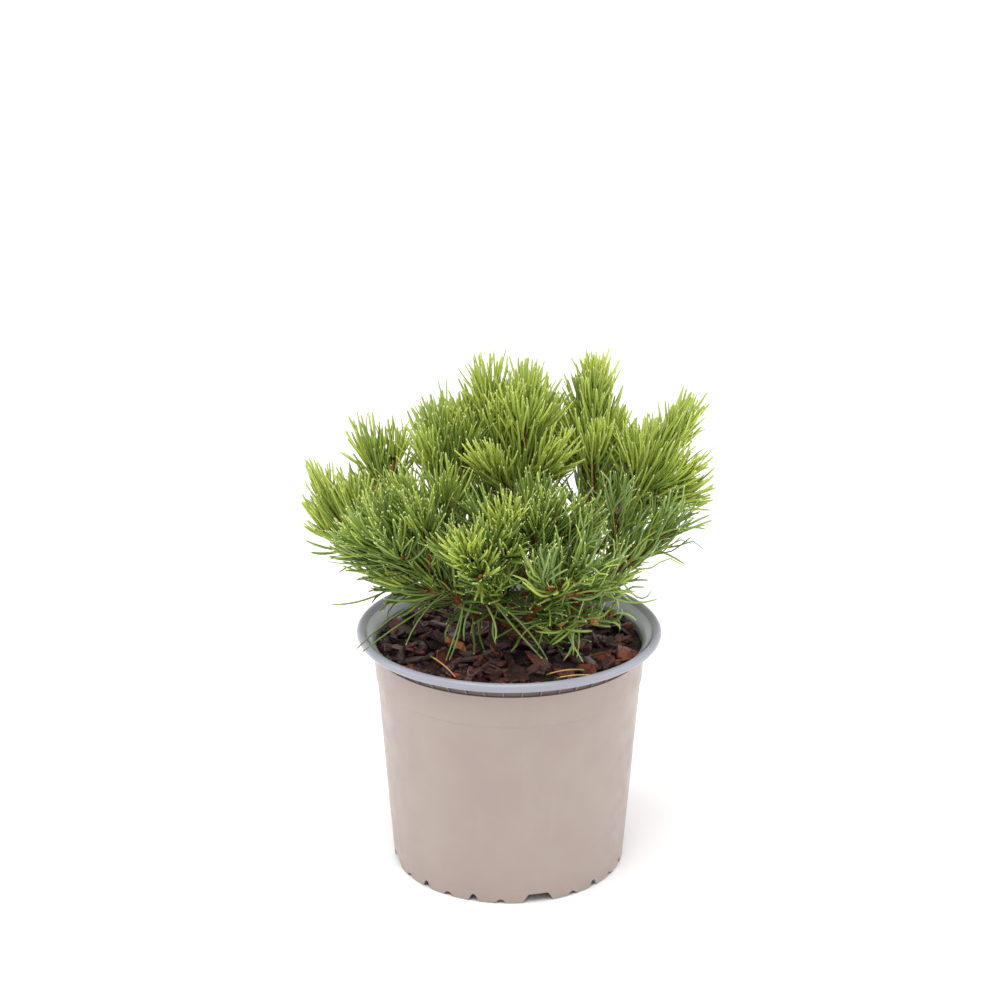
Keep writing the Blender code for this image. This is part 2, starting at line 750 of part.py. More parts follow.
def trunk_limb():
    """The trunk's centre line, as a limb the sprays keep clear of."""
    return [trunk_centre(TRUNK_BOTTOM), trunk_centre(TRUNK_TOP)]


def build():
    """Make every sub-part."""
    clear_scene()
    build_pot(make_material("pot", (0.49, 0.41, 0.37), 0.42))
    build_medium(make_material("growing_medium", (0.05, 0.035, 0.028), 0.95))
    build_mulch(make_material("bark_mulch", (0.075, 0.035, 0.03), 0.7))
    build_trunk(make_material("trunk", (0.16, 0.09, 0.055), 0.85))
    paths = {name: bough_path(row) for name, row in CROWN.items()}
    stems = {name: mass_stems(row) for name, row in CROWN.items()}
    limbs = list(paths.values()) + [trunk_limb()]
    rng = random.Random(CROWN_SEED)
    for name, row in CROWN.items():
        bark = make_material("bough_" + name, (0.26, 0.13, 0.06), 0.8)
        build_bough(name, row, bark)
        green = make_material("foliage_" + name, (0.16, 0.30, 0.05), 0.5)
        others = [stem for key in CROWN if key != name for stem in stems[key]]
        build_mass(name, stems[name], others, limbs, rng, green)


build()
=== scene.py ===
import math
import random

import bmesh
import bpy
import numpy as np
from mathutils import Matrix, Vector


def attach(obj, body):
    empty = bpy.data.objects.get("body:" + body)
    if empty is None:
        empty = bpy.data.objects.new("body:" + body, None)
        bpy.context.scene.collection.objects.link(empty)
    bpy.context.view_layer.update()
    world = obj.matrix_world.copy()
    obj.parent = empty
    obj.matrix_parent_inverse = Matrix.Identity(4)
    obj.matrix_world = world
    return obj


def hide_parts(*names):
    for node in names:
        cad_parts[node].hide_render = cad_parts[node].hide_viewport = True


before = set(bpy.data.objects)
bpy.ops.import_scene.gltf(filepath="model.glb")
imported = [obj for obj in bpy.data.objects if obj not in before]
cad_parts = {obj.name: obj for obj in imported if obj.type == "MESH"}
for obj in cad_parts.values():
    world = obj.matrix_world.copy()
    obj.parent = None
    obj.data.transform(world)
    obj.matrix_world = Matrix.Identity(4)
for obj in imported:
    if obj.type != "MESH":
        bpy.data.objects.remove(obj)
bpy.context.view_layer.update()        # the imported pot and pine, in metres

mm = 0.001
clearance = 0.3

# Camera
camera = {"lens": 80.46, "sensor": 36.0, "place": (-5.81, -1294.55, 676.54), "pitch": 71.25, "roll": 0.09}


def addItem(name, data):
    item = bpy.data.objects.new(name, data)
    bpy.context.scene.collection.objects.link(item)
    return item


def addCamera():
    data = bpy.data.cameras.new("camera")
    data.lens = camera["lens"]
    data.sensor_width = camera["sensor"]
    item = addItem("camera", data)
    item.location = Vector(camera["place"]) * mm
    tilt = Matrix.Rotation(math.radians(camera["pitch"]), 3, "X")
    roll = Matrix.Rotation(math.radians(camera["roll"]), 3, "Z")
    item.rotation_euler = (tilt @ roll).to_euler()
    bpy.context.scene.camera = item


addCamera()
print("camera placed")


# Arrays of points in millimetres and triangles
def unit(vectors):
    length = np.linalg.norm(vectors, axis=-1, keepdims=True)
    return vectors / np.maximum(length, 1e-9)


def smoothNoise(points, seed=0):
    # soft random values from -1 to 1 over space
    cell = np.floor(points).astype(np.int64)
    part = points - cell
    part = part * part * (3.0 - 2.0 * part)
    total = np.zeros(points.shape[:-1])
    for corner in np.ndindex(2, 2, 2):
        key = (cell + corner) @ np.array([73856093, 19349663, 83492791]) + seed * 6700417
        key = (key ^ (key >> 13)) * 1274126177
        value = ((key ^ (key >> 16)) & 1023) / 511.5 - 1.0
        weight = np.prod(np.where(corner, part, 1.0 - part), axis=-1)
        total += value * weight
    return total


def outward(points, faces):
    # turn a closed shape's triangles so that they face out
    a, b, c = (points[faces[:, k]] - points.mean(axis=0) for k in range(3))
    volume = np.einsum("ij,ij->i", a, np.cross(b, c)).sum()
    return faces if volume > 0 else faces[:, ::-1]


def ringPoints(radius, height, sides):
    turns = np.arange(sides) * math.tau / sides
    return np.stack([radius * np.cos(turns), radius * np.sin(turns), np.full(sides, height)], -1)


def gridFaces(rings, sides):
    # the skin between the rings of a tube
    start = np.arange(rings - 1)[:, None] * sides
    low = start + np.arange(sides)
    lowNext = start + (np.arange(sides) + 1) % sides
    upper = np.stack([low, lowNext, lowNext + sides], -1).reshape(-1, 3)
    lower = np.stack([low, lowNext + sides, low + sides], -1).reshape(-1, 3)
    return np.concatenate([upper, lower])


def fanFaces(ring, centre):
    return np.array([[ring[k], ring[(k + 1) % len(ring)], centre] for k in range(len(ring))])


def closedFaces(rings, sides):
    # the skin of a tube and its two ends, whose centres are the last two points
    last = (rings - 1) * sides
    ends = [
        fanFaces(range(sides), rings * sides)[:, ::-1],
        fanFaces(range(last, last + sides), rings * sides + 1),
    ]
    return np.concatenate([gridFaces(rings, sides), *ends])


def framesAlong(path):
    # two cross axes at each point of a path, without twist
    along = unit(np.gradient(path, axis=0))
    helper = np.array([0, 0, 1.0]) if abs(along[0, 2]) < 0.9 else np.array([1.0, 0, 0])
    current = np.cross(along[0], helper)
    side = np.zeros_like(path)
    for index, heading in enumerate(along):
        current = current - heading * current.dot(heading)
        current = current / np.linalg.norm(current)
        side[index] = current
    return side, np.cross(along, side)


def tubePart(path, radii, sides, relief):
    # a closed tube; relief gives the rise of the skin at each ring and turn
    side, cross = framesAlong(path)
    turns = np.arange(sides) * math.tau / sides
    spread = side[:, None] * np.cos(turns)[None, :, None] + cross[:, None] * np.sin(turns)[None, :, None]
    radius = np.repeat(radii[:, None], sides, axis=1)
    radius = radius + relief(path[:, None] + spread * radius[..., None])
    points = (path[:, None] + spread * radius[..., None]).reshape(-1, 3)
    points = np.concatenate([points, path[:1], path[-1:]])
    return plainPart(points, closedFaces(len(path), sides))


def plainPart(points, faces, slot=0):
    # a closed shape in one material
    return points, outward(points, faces), np.full(len(faces), slot)


def joinParts(parts):
    points, faces, slots = zip(*parts)
    starts = np.cumsum([0] + [len(group) for group in points])
    faces = [group + start for group, start in zip(faces, starts)]
    return np.concatenate(points), np.concatenate(faces), np.concatenate(slots)


def makePiece(name, parts, materials, nodes, smooth=True):
    points, faces, slots = joinParts(parts)
    mesh = bpy.data.meshes.new(name)
    mesh.vertices.add(len(points))
    mesh.vertices.foreach_set("co", (points * mm).astype(np.float32).ravel())
    mesh.loops.add(faces.size)
    mesh.loops.foreach_set("vertex_index", faces.astype(np.int32).ravel())
    mesh.polygons.add(len(faces))
    mesh.polygons.foreach_set("loop_start", np.arange(0, faces.size, 3, dtype=np.int32))
    for material in materials:
        mesh.materials.append(material)
    mesh.polygons.foreach_set("material_index", slots.astype(np.int32))
    mesh.update(calc_edges=True)
    mesh.validate()
    if smooth:
        mesh.shade_smooth()
    else:
        mesh.shade_flat()
    item = addItem(name, mesh)
    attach(item, "root")
    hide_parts(*nodes)
    print("made", name, "with", len(faces), "triangles")


# Shader groups and materials
def paint(red, green, blue):
    # an sRGB colour, as a shader wants it
    values = [channel / 255.0 for channel in (red, green, blue)]
    linear = [v / 12.92 if v <= 0.04045 else ((v + 0.055) / 1.055) ** 2.4 for v in values]
    return (*linear, 1.0)


class Nodes:
    # short ways to add and join nodes in one shader tree
    def __init__(self, tree):
        self.tree = tree

    def add(self, kind, **settings):
        node = self.tree.nodes.new(kind)
        for label, value in settings.items():
            setattr(node, label, value)
        return node

    def feed(self, socket, value):
        # a number, vector or colour is set, and another node's output is joined
        if isinstance(value, (int, float, tuple)):
            socket.default_value = value
        else:
            self.tree.links.new(value, socket)

    def fill(self, node, values):
        for label, value in values.items():
            self.feed(node.inputs[label], value)

    def made(self, kind, values, output=0, **settings):
        # one output of a new node whose inputs are fed
        node = self.add(kind, **settings)
        self.fill(node, values)
        return node.outputs[output]

    def calc(self, operation, first, second, clamp=False):
        return self.made("ShaderNodeMath", {0: first, 1: second}, operation=operation, use_clamp=clamp)

    def vector(self, operation, first, second):
        values = {0: first, "Scale" if operation == "SCALE" else 1: second}
        return self.made("ShaderNodeVectorMath", values, operation=operation)

    def noise(self, place, scale, detail=3.0, roughness=0.55):
        values = {"Vector": place, "Scale": scale, "Detail": detail, "Roughness": roughness}
        return self.made("ShaderNodeTexNoise", values, "Fac")

    def cells(self, place, scale, feature):
        values = {"Vector": place, "Scale": scale}
        return self.made("ShaderNodeTexVoronoi", values, "Distance", feature=feature)

    def spread(self, value, low, high):
        # 0 at low and 1 at high
        values = {"Value": value, "From Min": low, "From Max": high}
        return self.made("ShaderNodeMapRange", values, "Result")

    def mix(self, share, first, second):
        return self.made("ShaderNodeMix", {0: share, 6: first, 7: second}, 2, data_type="RGBA")


class Group(Nodes):
    # a shader node group: its inputs after Place with their values, and its outputs
    def __init__(self, name, inputs, outputs):
        super().__init__(bpy.data.node_groups.new(name, "ShaderNodeTree"))
        self.addSocket("Place", "INPUT", "Vector")
        for label, value in inputs.items():
            kind = "Color" if isinstance(value, tuple) else "Float"
            self.addSocket(label, "INPUT", kind).default_value = value
        for label in outputs:
            self.addSocket(label, "OUTPUT", "Color" if label == "Colour" else "Float")
        self.start = self.add("NodeGroupInput").outputs
        self.end = self.add("NodeGroupOutput").inputs

    def addSocket(self, label, way, kind):
        return self.tree.interface.new_socket(label, in_out=way, socket_type="NodeSocket" + kind)

    def give(self, label, value):
        self.feed(self.end[label], value)


def tintDriftGroup():
    # one colour drifting towards another in soft patches
    inputs = {"Colour": (0.5, 0.5, 0.5, 1.0), "Other": (0.4, 0.4, 0.4, 1.0), "Scale": 100.0, "Amount": 0.5}
    group = Group("tintDrift", inputs, ["Colour"])
    place, colour, other, scale, amount = group.start[:5]
    mask = group.spread(group.noise(place, scale), 0.34, 0.66)
    share = group.calc("MULTIPLY", mask, amount, clamp=True)
    group.give("Colour", group.mix(share, colour, other))
    return group.tree


def skinGrainGroup():
    # fine grain as a height and as a roughness
    group = Group("skinGrain", {"Scale": 900.0, "Smooth": 0.35, "Rough": 0.55}, ["Height", "Roughness"])
    place, scale, smooth, rough = group.start[:4]
    group.give("Height", group.noise(place, scale, 2.0))
    patches = group.noise(place, group.calc("MULTIPLY", scale, 0.08))
    share = group.spread(patches, 0.36, 0.64)
    rise = group.calc("MULTIPLY", group.calc("SUBTRACT", rough, smooth), share)
    group.give("Roughness", group.calc("ADD", smooth, rise, clamp=True))
    return group.tree


def plateCrackGroup():
    # bark in small plates with dark cracks between them
    group = Group("plateCrack", {"Scale": 400.0, "Crack": 0.12}, ["Height", "Crack"])
    place, scale, crack = group.start[:3]
    cloud = group.noise(place, group.calc("MULTIPLY", scale, 0.6))
    bend = group.vector("SCALE", (0.0025, 0.0025, 0.0025), cloud)
    gap = group.cells(group.vector("ADD", place, bend), scale, "DISTANCE_TO_EDGE")
    edge = group.calc("DIVIDE", gap, crack, clamp=True)
    flakes = group.noise(place, scale, 4.0, 0.65)
    group.give("Height", group.calc("ADD", edge, group.calc("MULTIPLY", flakes, 0.5)))
    group.give("Crack", group.calc("SUBTRACT", 1.0, edge, clamp=True))
    return group.tree


def scuffGroup():
    # pale dust specks, dark flecks and thin rub marks
    group = Group("scuff", {"Scale": 120.0, "Amount": 0.5}, ["Dust", "Fleck", "Rub"])
    place, scale, amount = group.start[:3]
    dust = group.spread(group.cells(place, group.calc("MULTIPLY", scale, 1.7), "F1"), 0.075, 0.03)
    patches = group.noise(place, scale, 1.0)
    stretched = group.vector("MULTIPLY", place, (1.0, 1.0, 0.16))
    marks = {
        "Dust": group.calc("MULTIPLY", dust, group.spread(patches, 0.52, 0.6)),
        "Fleck": group.calc("MULTIPLY", dust, group.spread(patches, 0.46, 0.4)),
        "Rub": group.spread(group.noise(stretched, scale, 5.0, 0.7), 0.56, 0.74),
    }
    for label, value in marks.items():
        group.give(label, group.calc("MULTIPLY", value, amount, clamp=True))
    return group.tree


tintDrift = tintDriftGroup()
skinGrain = skinGrainGroup()
plateCrack = plateCrackGroup()
scuff = scuffGroup()
print("shader groups built")


class Finish(Nodes):
    # one material: its Principled shader's inputs, its place on the object and helpers
    def __init__(self, name):
        self.material = bpy.data.materials.new(name)
        self.material.use_nodes = True
        super().__init__(self.material.node_tree)
        self.inputs = self.tree.nodes["Principled BSDF"].inputs
        self.place = self.add("ShaderNodeTexCoord").outputs["Object"]

    def use(self, tree, **values):
        node = self.add("ShaderNodeGroup", node_tree=tree)
        self.fill(node, {"Place": self.place, **values})
        return node.outputs

    def tint(self, colour, other, scale, amount):
        values = {"Colour": paint(*colour), "Other": paint(*other), "Scale": scale, "Amount": amount}
        return self.use(tintDrift, **values)["Colour"]

    def base(self, colour):
        self.feed(self.inputs["Base Color"], colour)

    def grain(self, scale, smooth, rough):
        # the roughness is joined, and the height of the grain is left to use
        skin = self.use(skinGrain, Scale=scale, Smooth=smooth, Rough=rough)
        self.feed(self.inputs["Roughness"], skin["Roughness"])
        return skin["Height"]

    def bump(self, height, strength, distance):
        values = {"Strength": strength, "Distance": distance * mm, "Height": height}
        self.feed(self.inputs["Normal"], self.made("ShaderNodeBump", values, "Normal"))


def needleFinish(name, colour, other, roughness=0.4):
    finish = Finish(name)
    finish.base(finish.tint(colour, other, 160.0, 0.6))
    finish.bump(finish.grain(1400.0, roughness - 0.06, roughness + 0.1), 0.15, 0.1)
    return finish.material


def barkFinish(name, colour, other, crackColour, scale, rise, roughness=0.7, strength=0.6):
    finish = Finish(name)
    plates = finish.use(plateCrack, Scale=scale, Crack=0.14)
    skin = finish.tint(colour, other, scale * 0.35, 0.9)
    finish.base(finish.mix(plates["Crack"], skin, paint(*crackColour)))
    finish.grain(scale * 3.0, roughness - 0.18, roughness + 0.12)
    finish.bump(plates["Height"], strength, rise)
    return finish.material


def plasticFinish(name, colour, other, dustColour, fleckColour, smooth, rough, amount):
    finish = Finish(name)
    skin = finish.tint(colour, other, 30.0, 0.6)
    marks = finish.use(scuff, Scale=70.0, Amount=amount)
    for label, markColour in (("Rub", dustColour), ("Dust", dustColour), ("Fleck", fleckColour)):
        skin = finish.mix(marks[label], skin, paint(*markColour))
    finish.base(skin)
    finish.bump(finish.grain(1100.0, smooth, rough), 0.12, 0.06)
    return finish.material


# as the section numbers them: wall, lip, recess in painted shade and lining in painted light
potFinishes = [
    plasticFinish("taupePlastic", (157, 142, 135), (164, 150, 142), (190, 180, 174), (104, 88, 80),
                  0.3, 0.46, 0.09),
    plasticFinish("greyBluePlastic", (149, 150, 161), (152, 153, 164), (176, 178, 188),
                  (122, 116, 116), 0.2, 0.26, 0.04),
    # painted shade: a dark plastic for the recess under the lip, the pot's underside and the drains
    plasticFinish("shadedPlastic", (96, 84, 78), (106, 94, 88), (118, 106, 99), (76, 66, 61),
                  0.5, 0.7, 0.1),
    # painted light: the inside of the same blue-grey plastic as the lip, made paler where the crown shades
    # it
    plasticFinish("paintedLightLining", (200, 201, 209), (206, 207, 214), (222, 223, 229), (150, 146, 146),
                  0.2, 0.26, 0.06),
]
# painted shade: the ribs are the wall's taupe plastic, darkened for the shade under the lip
potRibShadeFinish = plasticFinish("shadedRibPlastic", (118, 105, 98), (128, 115, 108), (140, 128, 122),
                             (84, 72, 66), 0.5, 0.7, 0.1)
print("plastic finishes ready")


# Pot
pot = {
    "sides": 288, "cornerSteps": 3, "baseRadius": 73.2, "crease": 32.0,
    "notchStep": 13.4, "notchWidth": 5.2, "notchHeights": (2.7, 4.8), "notchFlare": 2.2,
    "drainTurn": 14.3, "drainSpan": 14.4, "drainHeight": 5.8, "drainSlope": 3.0,
    "drainInside": 67.5, "notchInside": 69.5, "cutOutside": 77.0,
    "holeRadius": 4.5, "holeRing": 58.0, "holeHeights": (4.0, 10.0), "holeSides": 32,
    "ribs": 48, "ribTurn": -2.5, "ribWidth": 0.75,
}

# radius and height of each corner of the pot's section going round from the foot, how far it
# is rounded off, and the plastic of the stretch after it: wall 0, lip 1, recess 2 (painted
# shade, also under the floor and in the drains), lining 3 (painted light)
potSection = [
    (71.4, 0.0, 0.25, 0), (73.2, 0.0, 0.45, 0), (73.85, 9.0, 0.2, 0), (74.05, 9.6, 0.2, 0),
    (82.5, 122.4, 0.3, 0), (83.3, 123.2, 0.3, 0), (84.9, 142.2, 0.5, 0), (85.0, 143.0, 0.3, 2),
    (84.2, 143.4, 0.2, 2), (84.4, 146.9, 0.6, 2), (92.4, 149.0, 0.3, 2), (93.8, 149.9, 0.7, 1),
    (95.0, 151.4, 1.0, 1), (94.9, 153.6, 1.2, 1), (92.9, 155.3, 1.3, 1), (90.9, 154.7, 1.0, 1),
    (88.0, 151.6, 1.2, 3), (85.2, 149.6, 1.0, 3), (83.1, 146.6, 1.0, 3), (82.9, 139.0, 1.0, 3),
    (71.9, 8.0, 1.2, 3), (0.0, 8.0, 0.0, 3), (0.0, 6.5, 0.0, 2), (70.4, 6.5, 0.4, 2),
]


def roundedSection(section):
    # each corner becomes a short curve
    steps = pot["cornerSteps"]
    points = []
    count = len(section)
    for index, (radius, height, reach, layer) in enumerate(section):
        corner = np.array([radius, height])
        if reach == 0.0:
            points.append((radius, height, layer))
            continue
        before = np.array(section[index - 1][:2]) - corner
        after = np.array(section[(index + 1) % count][:2]) - corner
        start = corner + unit(before) * min(reach, np.linalg.norm(before) * 0.45)
        end = corner + unit(after) * min(reach, np.linalg.norm(after) * 0.45)
        for step in range(steps + 1):
            share = step / steps
            place = start * (1 - share) ** 2 + corner * 2 * share * (1 - share) + end * share ** 2
            points.append((place[0], place[1], layer))
    return points


def turnedPoint(radius, across, height, turn):
    # a point on the camera's side of the pot, turned about the pot's axis
    return Matrix.Rotation(math.radians(turn), 3, "Z") @ Vector((across, -radius, height))


def notchSection(rise):
    # an arch whose mouth flares, up one side and down the other
    left = []
    for step in range(9):
        angle = math.pi / 2 * step / 8
        height = rise * math.sin(angle)
        half = pot["notchWidth"] / 2 * math.cos(angle)
        half += pot["notchFlare"] * max(0.0, 1.0 - height / 1.8) ** 2
        left.append((-half, height))
    mouth = [(left[0][0] - 0.4, -1.0)]
    return mouth + left + [(-x, z) for x, z in reversed(left[:-1])] + [(-mouth[0][0], -1.0)]


def drainSection():
    half = pot["baseRadius"] * math.radians(pot["drainSpan"]) / 2
    rise = pot["drainHeight"]
    slope = pot["drainSlope"]
    left = [(-half - 2.2, -1.0), (-half - 1.8, 0.0), (-half - 0.2, 0.9)]
    left += [(-half + slope - 0.5, rise - 0.7), (-half + slope + 0.3, rise)]
    return left + [(-x, z) for x, z in reversed(left)]


def addPrism(points, faces, near, far):
    # a closed prism between two rings of points
    first = len(points)
    count = len(near)
    points += [Vector(place) * mm for place in [*near, *far]]
    faces.append(list(range(first, first + count)))
    faces.append(list(range(first + 2 * count - 1, first + count - 1, -1)))
    for step in range(count):
        following = (step + 1) % count
        faces.append([first + following, first + step, first + step + count, first + following + count])


def footCutter():
    points, faces = [], []
    for quarter in range(4):
        drain = pot["drainTurn"] + 90.0 * quarter
        cuts = [(drainSection(), drain, pot["drainInside"])]
        for step in range(5):
            turn = drain + 45.0 + pot["notchStep"] * (step - 2)
            cuts.append((notchSection(pot["notchHeights"][step % 2]), turn, pot["notchInside"]))
        for section, turn, inside in cuts:
            rings = [[turnedPoint(radius, *place, turn) for place in section]
                     for radius in (inside, pot["cutOutside"])]
            addPrism(points, faces, *rings)
        centre = np.array(turnedPoint(pot["holeRing"], 0.0, 0.0, drain))
        rings = [ringPoints(pot["holeRadius"], height, pot["holeSides"])[::-1] + centre
                 for height in pot["holeHeights"]]
        addPrism(points, faces, *rings)
    mesh = bpy.data.meshes.new("footCutter")
    mesh.from_pydata([tuple(point) for point in points], [], faces)
    return addItem("footCutter", mesh)


ribSection = [(84.0, 143.5), (84.9, 143.5), (88.6, 147.4), (88.6, 148.3), (84.0, 147.4)]


def ribParts():
    # small gussets between the collar and the underside of the lip
    count = len(ribSection)
    half = pot["ribWidth"] / 2
    end = np.array([[0, k, k + 1] for k in range(1, count - 1)])
    faces = np.concatenate([gridFaces(2, count), end[:, ::-1], end + count])
    parts = []
    for step in range(pot["ribs"]):
        turn = pot["ribTurn"] + 360.0 * step / pot["ribs"]
        points = [tuple(turnedPoint(radius, across, height, turn))
                  for across in (-half, half) for radius, height in ribSection]
        parts.append(plainPart(np.array(points), faces))
    return parts


def potMesh():
    # the section turned about the pot's axis
    section = roundedSection(potSection)
    sides = pot["sides"]
    points = np.concatenate([ringPoints(radius, height, sides) for radius, height, _layer in section])
    faces, slots = [], []
    for index, (radius, _height, layer) in enumerate(section):
        after = (index + 1) % len(section)
        if radius == section[after][0] == 0.0:
            continue
        low, high = index * sides, after * sides
        for step in range(sides):
            following = (step + 1) % sides
            faces.append([low + step, low + following, high + following, high + step])
            slots.append(layer)
    mesh = bpy.data.meshes.new("potSkin")
    mesh.from_pydata((points * mm).tolist(), [], faces)
    for material in potFinishes:
        mesh.materials.append(material)
    mesh.polygons.foreach_set("material_index", np.array(slots, np.int32))
    return mesh


def weldAndCut(mesh):
    # weld the floor's centre, cut the foot and keep the result
    work = bmesh.new()
    work.from_mesh(mesh)
    bmesh.ops.remove_doubles(work, verts=work.verts, dist=0.00001)
    bmesh.ops.recalc_face_normals(work, faces=work.faces)
    work.to_mesh(mesh)
    work.free()
    item = addItem("potSkin", mesh)
    cutter = footCutter()
    cut = item.modifiers.new("foot", "BOOLEAN")
    cut.operation = "DIFFERENCE"
    cut.object = cutter
    cut.solver = "EXACT"
    bpy.context.view_layer.update()
    graph = bpy.context.evaluated_depsgraph_get()
    result = bpy.data.meshes.new_from_object(item.evaluated_get(graph), depsgraph=graph)
    bpy.data.objects.remove(cutter, do_unlink=True)
    item.modifiers.clear()
    item.data = result
    result.shade_smooth()
    result.set_sharp_from_angle(angle=math.radians(pot["crease"]))
    return item


potSkin = weldAndCut(potMesh())
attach(potSkin, "root")
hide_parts("pot")
makePiece("potRibs", ribParts(), [potRibShadeFinish], ["pot"], smooth=False)
print("pot made")


# Growing medium and bark mulch
mulch = {
    "low": 128.3, "top": 142.6, "lump": 1.5, "grit": 0.8, "radiusLow": 81.3, "radius": 82.9,
    "bedRings": 26, "bedSides": 96,
    "flakes": 420, "length": (7.0, 24.0), "slim": (0.36, 0.8), "thick": (1.2, 2.8),
    "ring": 82.0, "trunkClear": 12.0, "tilt": 22.0, "sink": 0.6, "pile": 4.2, "highest": 151.5,
    "shares": (0.34, 0.36, 0.16, 0.14), "seed": 12,
    "tanFlake": (-32.0, -29.0, 154.0), "tanSize": (16.0, 6.0, 1.6), "tanTurns": (-68.0, 80.0),
}


def peatFinish():
    finish = Finish("peat")
    finish.base(finish.tint((44, 31, 25), (66, 47, 36), 130.0, 1.0))
    finish.bump(finish.use(plateCrack, Scale=380.0, Crack=0.3)["Height"], 0.8, 1.2)
    finish.grain(700.0, 0.82, 1.0)
    return finish.material


def bedPart():
    # a lumpy disc that reaches the pot's inner wall
    rings, sides = mulch["bedRings"], mulch["bedSides"]
    radii = mulch["radius"] * (np.arange(rings) + 1) / rings
    points = np.concatenate([ringPoints(radius, mulch["top"], sides) for radius in radii])
    points[:, 2] += mulch["lump"] * smoothNoise(points * 0.11, 3) - mulch["sink"]
    points[:, 2] += mulch["grit"] * smoothNoise(points * 0.4, 4)
    foot = ringPoints(mulch["radiusLow"], mulch["low"], sides)
    centres = [[0, 0, mulch["top"] - mulch["sink"]], [0, 0, mulch["low"]]]
    return plainPart(np.concatenate([points, foot, centres]), closedFaces(rings + 1, sides))


def flakePart(rng, centre, length, width, thick, tilt, slot):
    # one torn flake of bark: an angular outline, a broken top and a stepped edge
    count = rng.randint(5, 8)
    outline = []
    for step in range(count):
        angle = math.tau * (step + rng.uniform(-0.32, 0.32)) / count
        reach = 1.0 / max(abs(math.cos(angle)), abs(math.sin(angle))) * rng.uniform(0.66, 1.0)
        outline.append((math.cos(angle) * reach * length / 2, math.sin(angle) * reach * width / 2))
    outline = np.array(outline)
    bow = rng.uniform(-0.14, 0.14) / length
    levels = [(0.9, -0.5), (1.0, -0.3), (0.98, 0.3), (0.9, 0.5), (0.45, 0.52)]
    points = []
    for share, height in levels:
        for x, y in outline * share:
            points.append((x, y, height * thick + rng.uniform(-0.12, 0.12) * thick + bow * x * x))
    points.append((0.0, 0.0, -0.5 * thick))
    points.append((0.0, 0.0, 0.6 * thick))
    points = np.array(points)
    turn = Matrix.Rotation(rng.uniform(0, math.tau), 3, "Z")
    lean = Matrix.Rotation(math.radians(rng.gauss(0, tilt)), 3, "X")
    roll = Matrix.Rotation(math.radians(rng.gauss(0, tilt)), 3, "Y")
    points = points @ np.array(turn @ lean @ roll).T + centre
    return plainPart(points, closedFaces(len(levels), count), slot)


def flakeParts():
    rng = random.Random(mulch["seed"])
    parts = []
    while len(parts) < mulch["flakes"]:
        radius = mulch["ring"] * math.sqrt(rng.random())
        angle = rng.uniform(0, math.tau)
        x, y = radius * math.cos(angle), radius * math.sin(angle)
        if math.hypot(x + 6.0, y) < mulch["trunkClear"]:
            continue
        low, high = mulch["length"]
        length = low + (high - low) * rng.random() ** 1.7
        width = max(3.0, length * rng.uniform(*mulch["slim"]))
        thick = rng.uniform(*mulch["thick"])
        height = mulch["top"] - mulch["sink"] + mulch["pile"] * rng.random()
        slot = rng.choices(range(4), mulch["shares"])[0]
        part = flakePart(rng, (x, y, height), length, width, thick, mulch["tilt"], slot)
        across = np.hypot(part[0][:, 0], part[0][:, 1]).max()
        if across < mulch["radius"] and part[0][:, 2].max() < mulch["highest"]:
            parts.append(part)
    # one tan flake that stands on end in front of the trunk
    flat = flakePart(rng, (0.0, 0.0, 0.0), *mulch["tanSize"], 0.0, 4)
    lean, roll = (math.radians(angle) for angle in mulch["tanTurns"])
    upright = Matrix.Rotation(lean, 3, "Y") @ Matrix.Rotation(roll, 3, "X")
    parts.append((flat[0] @ np.array(upright).T + mulch["tanFlake"], flat[1], flat[2]))
    return parts


flakeFinishes = [
    barkFinish("darkBark", (58, 33, 34), (75, 43, 43), (38, 22, 23), 120.0, 0.5, 0.5, 0.3),
    barkFinish("redBark", (108, 53, 47), (78, 39, 38), (52, 26, 26), 130.0, 0.5, 0.46, 0.3),
    barkFinish("greyBark", (128, 94, 92), (90, 63, 63), (60, 41, 41), 110.0, 0.5, 0.5, 0.3),
    barkFinish("rustBark", (150, 76, 48), (114, 54, 38), (76, 38, 27), 140.0, 0.5, 0.5, 0.3),
    barkFinish("tanBark", (204, 140, 84), (168, 102, 58), (116, 66, 38), 160.0, 0.5, 0.6, 0.35),
]
peat = peatFinish()
medium = bpy.data.objects["growing_medium"]
for place in medium.material_slots:
    place.material = peat
makePiece("mulchBed", [bedPart()], [peat], ["bark_mulch"])
makePiece("barkFlakes", flakeParts(), flakeFinishes, ["bark_mulch"], smooth=False)
print("mulch made")


# Trunk, boughs and shoots
trunk = {
    "foot": (-6.0, 0.0), "head": (-3.0, 2.0), "bottom": 142.9, "top": 204.0,
    "footRadius": 9.6, "waistRadius": 6.4, "headRadius": 4.6, "flare": 9.0, "bow": 1.6,
}
wood = {
    "boughRadius": (2.7, 2.1), "leaderRadius": (2.2, 1.5), "sideRadius": (1.7, 1.2),
    "setOut": 0.15, "fine": 48, "ringStep": 1.1, "wander": 0.7, "seed": 31,
}

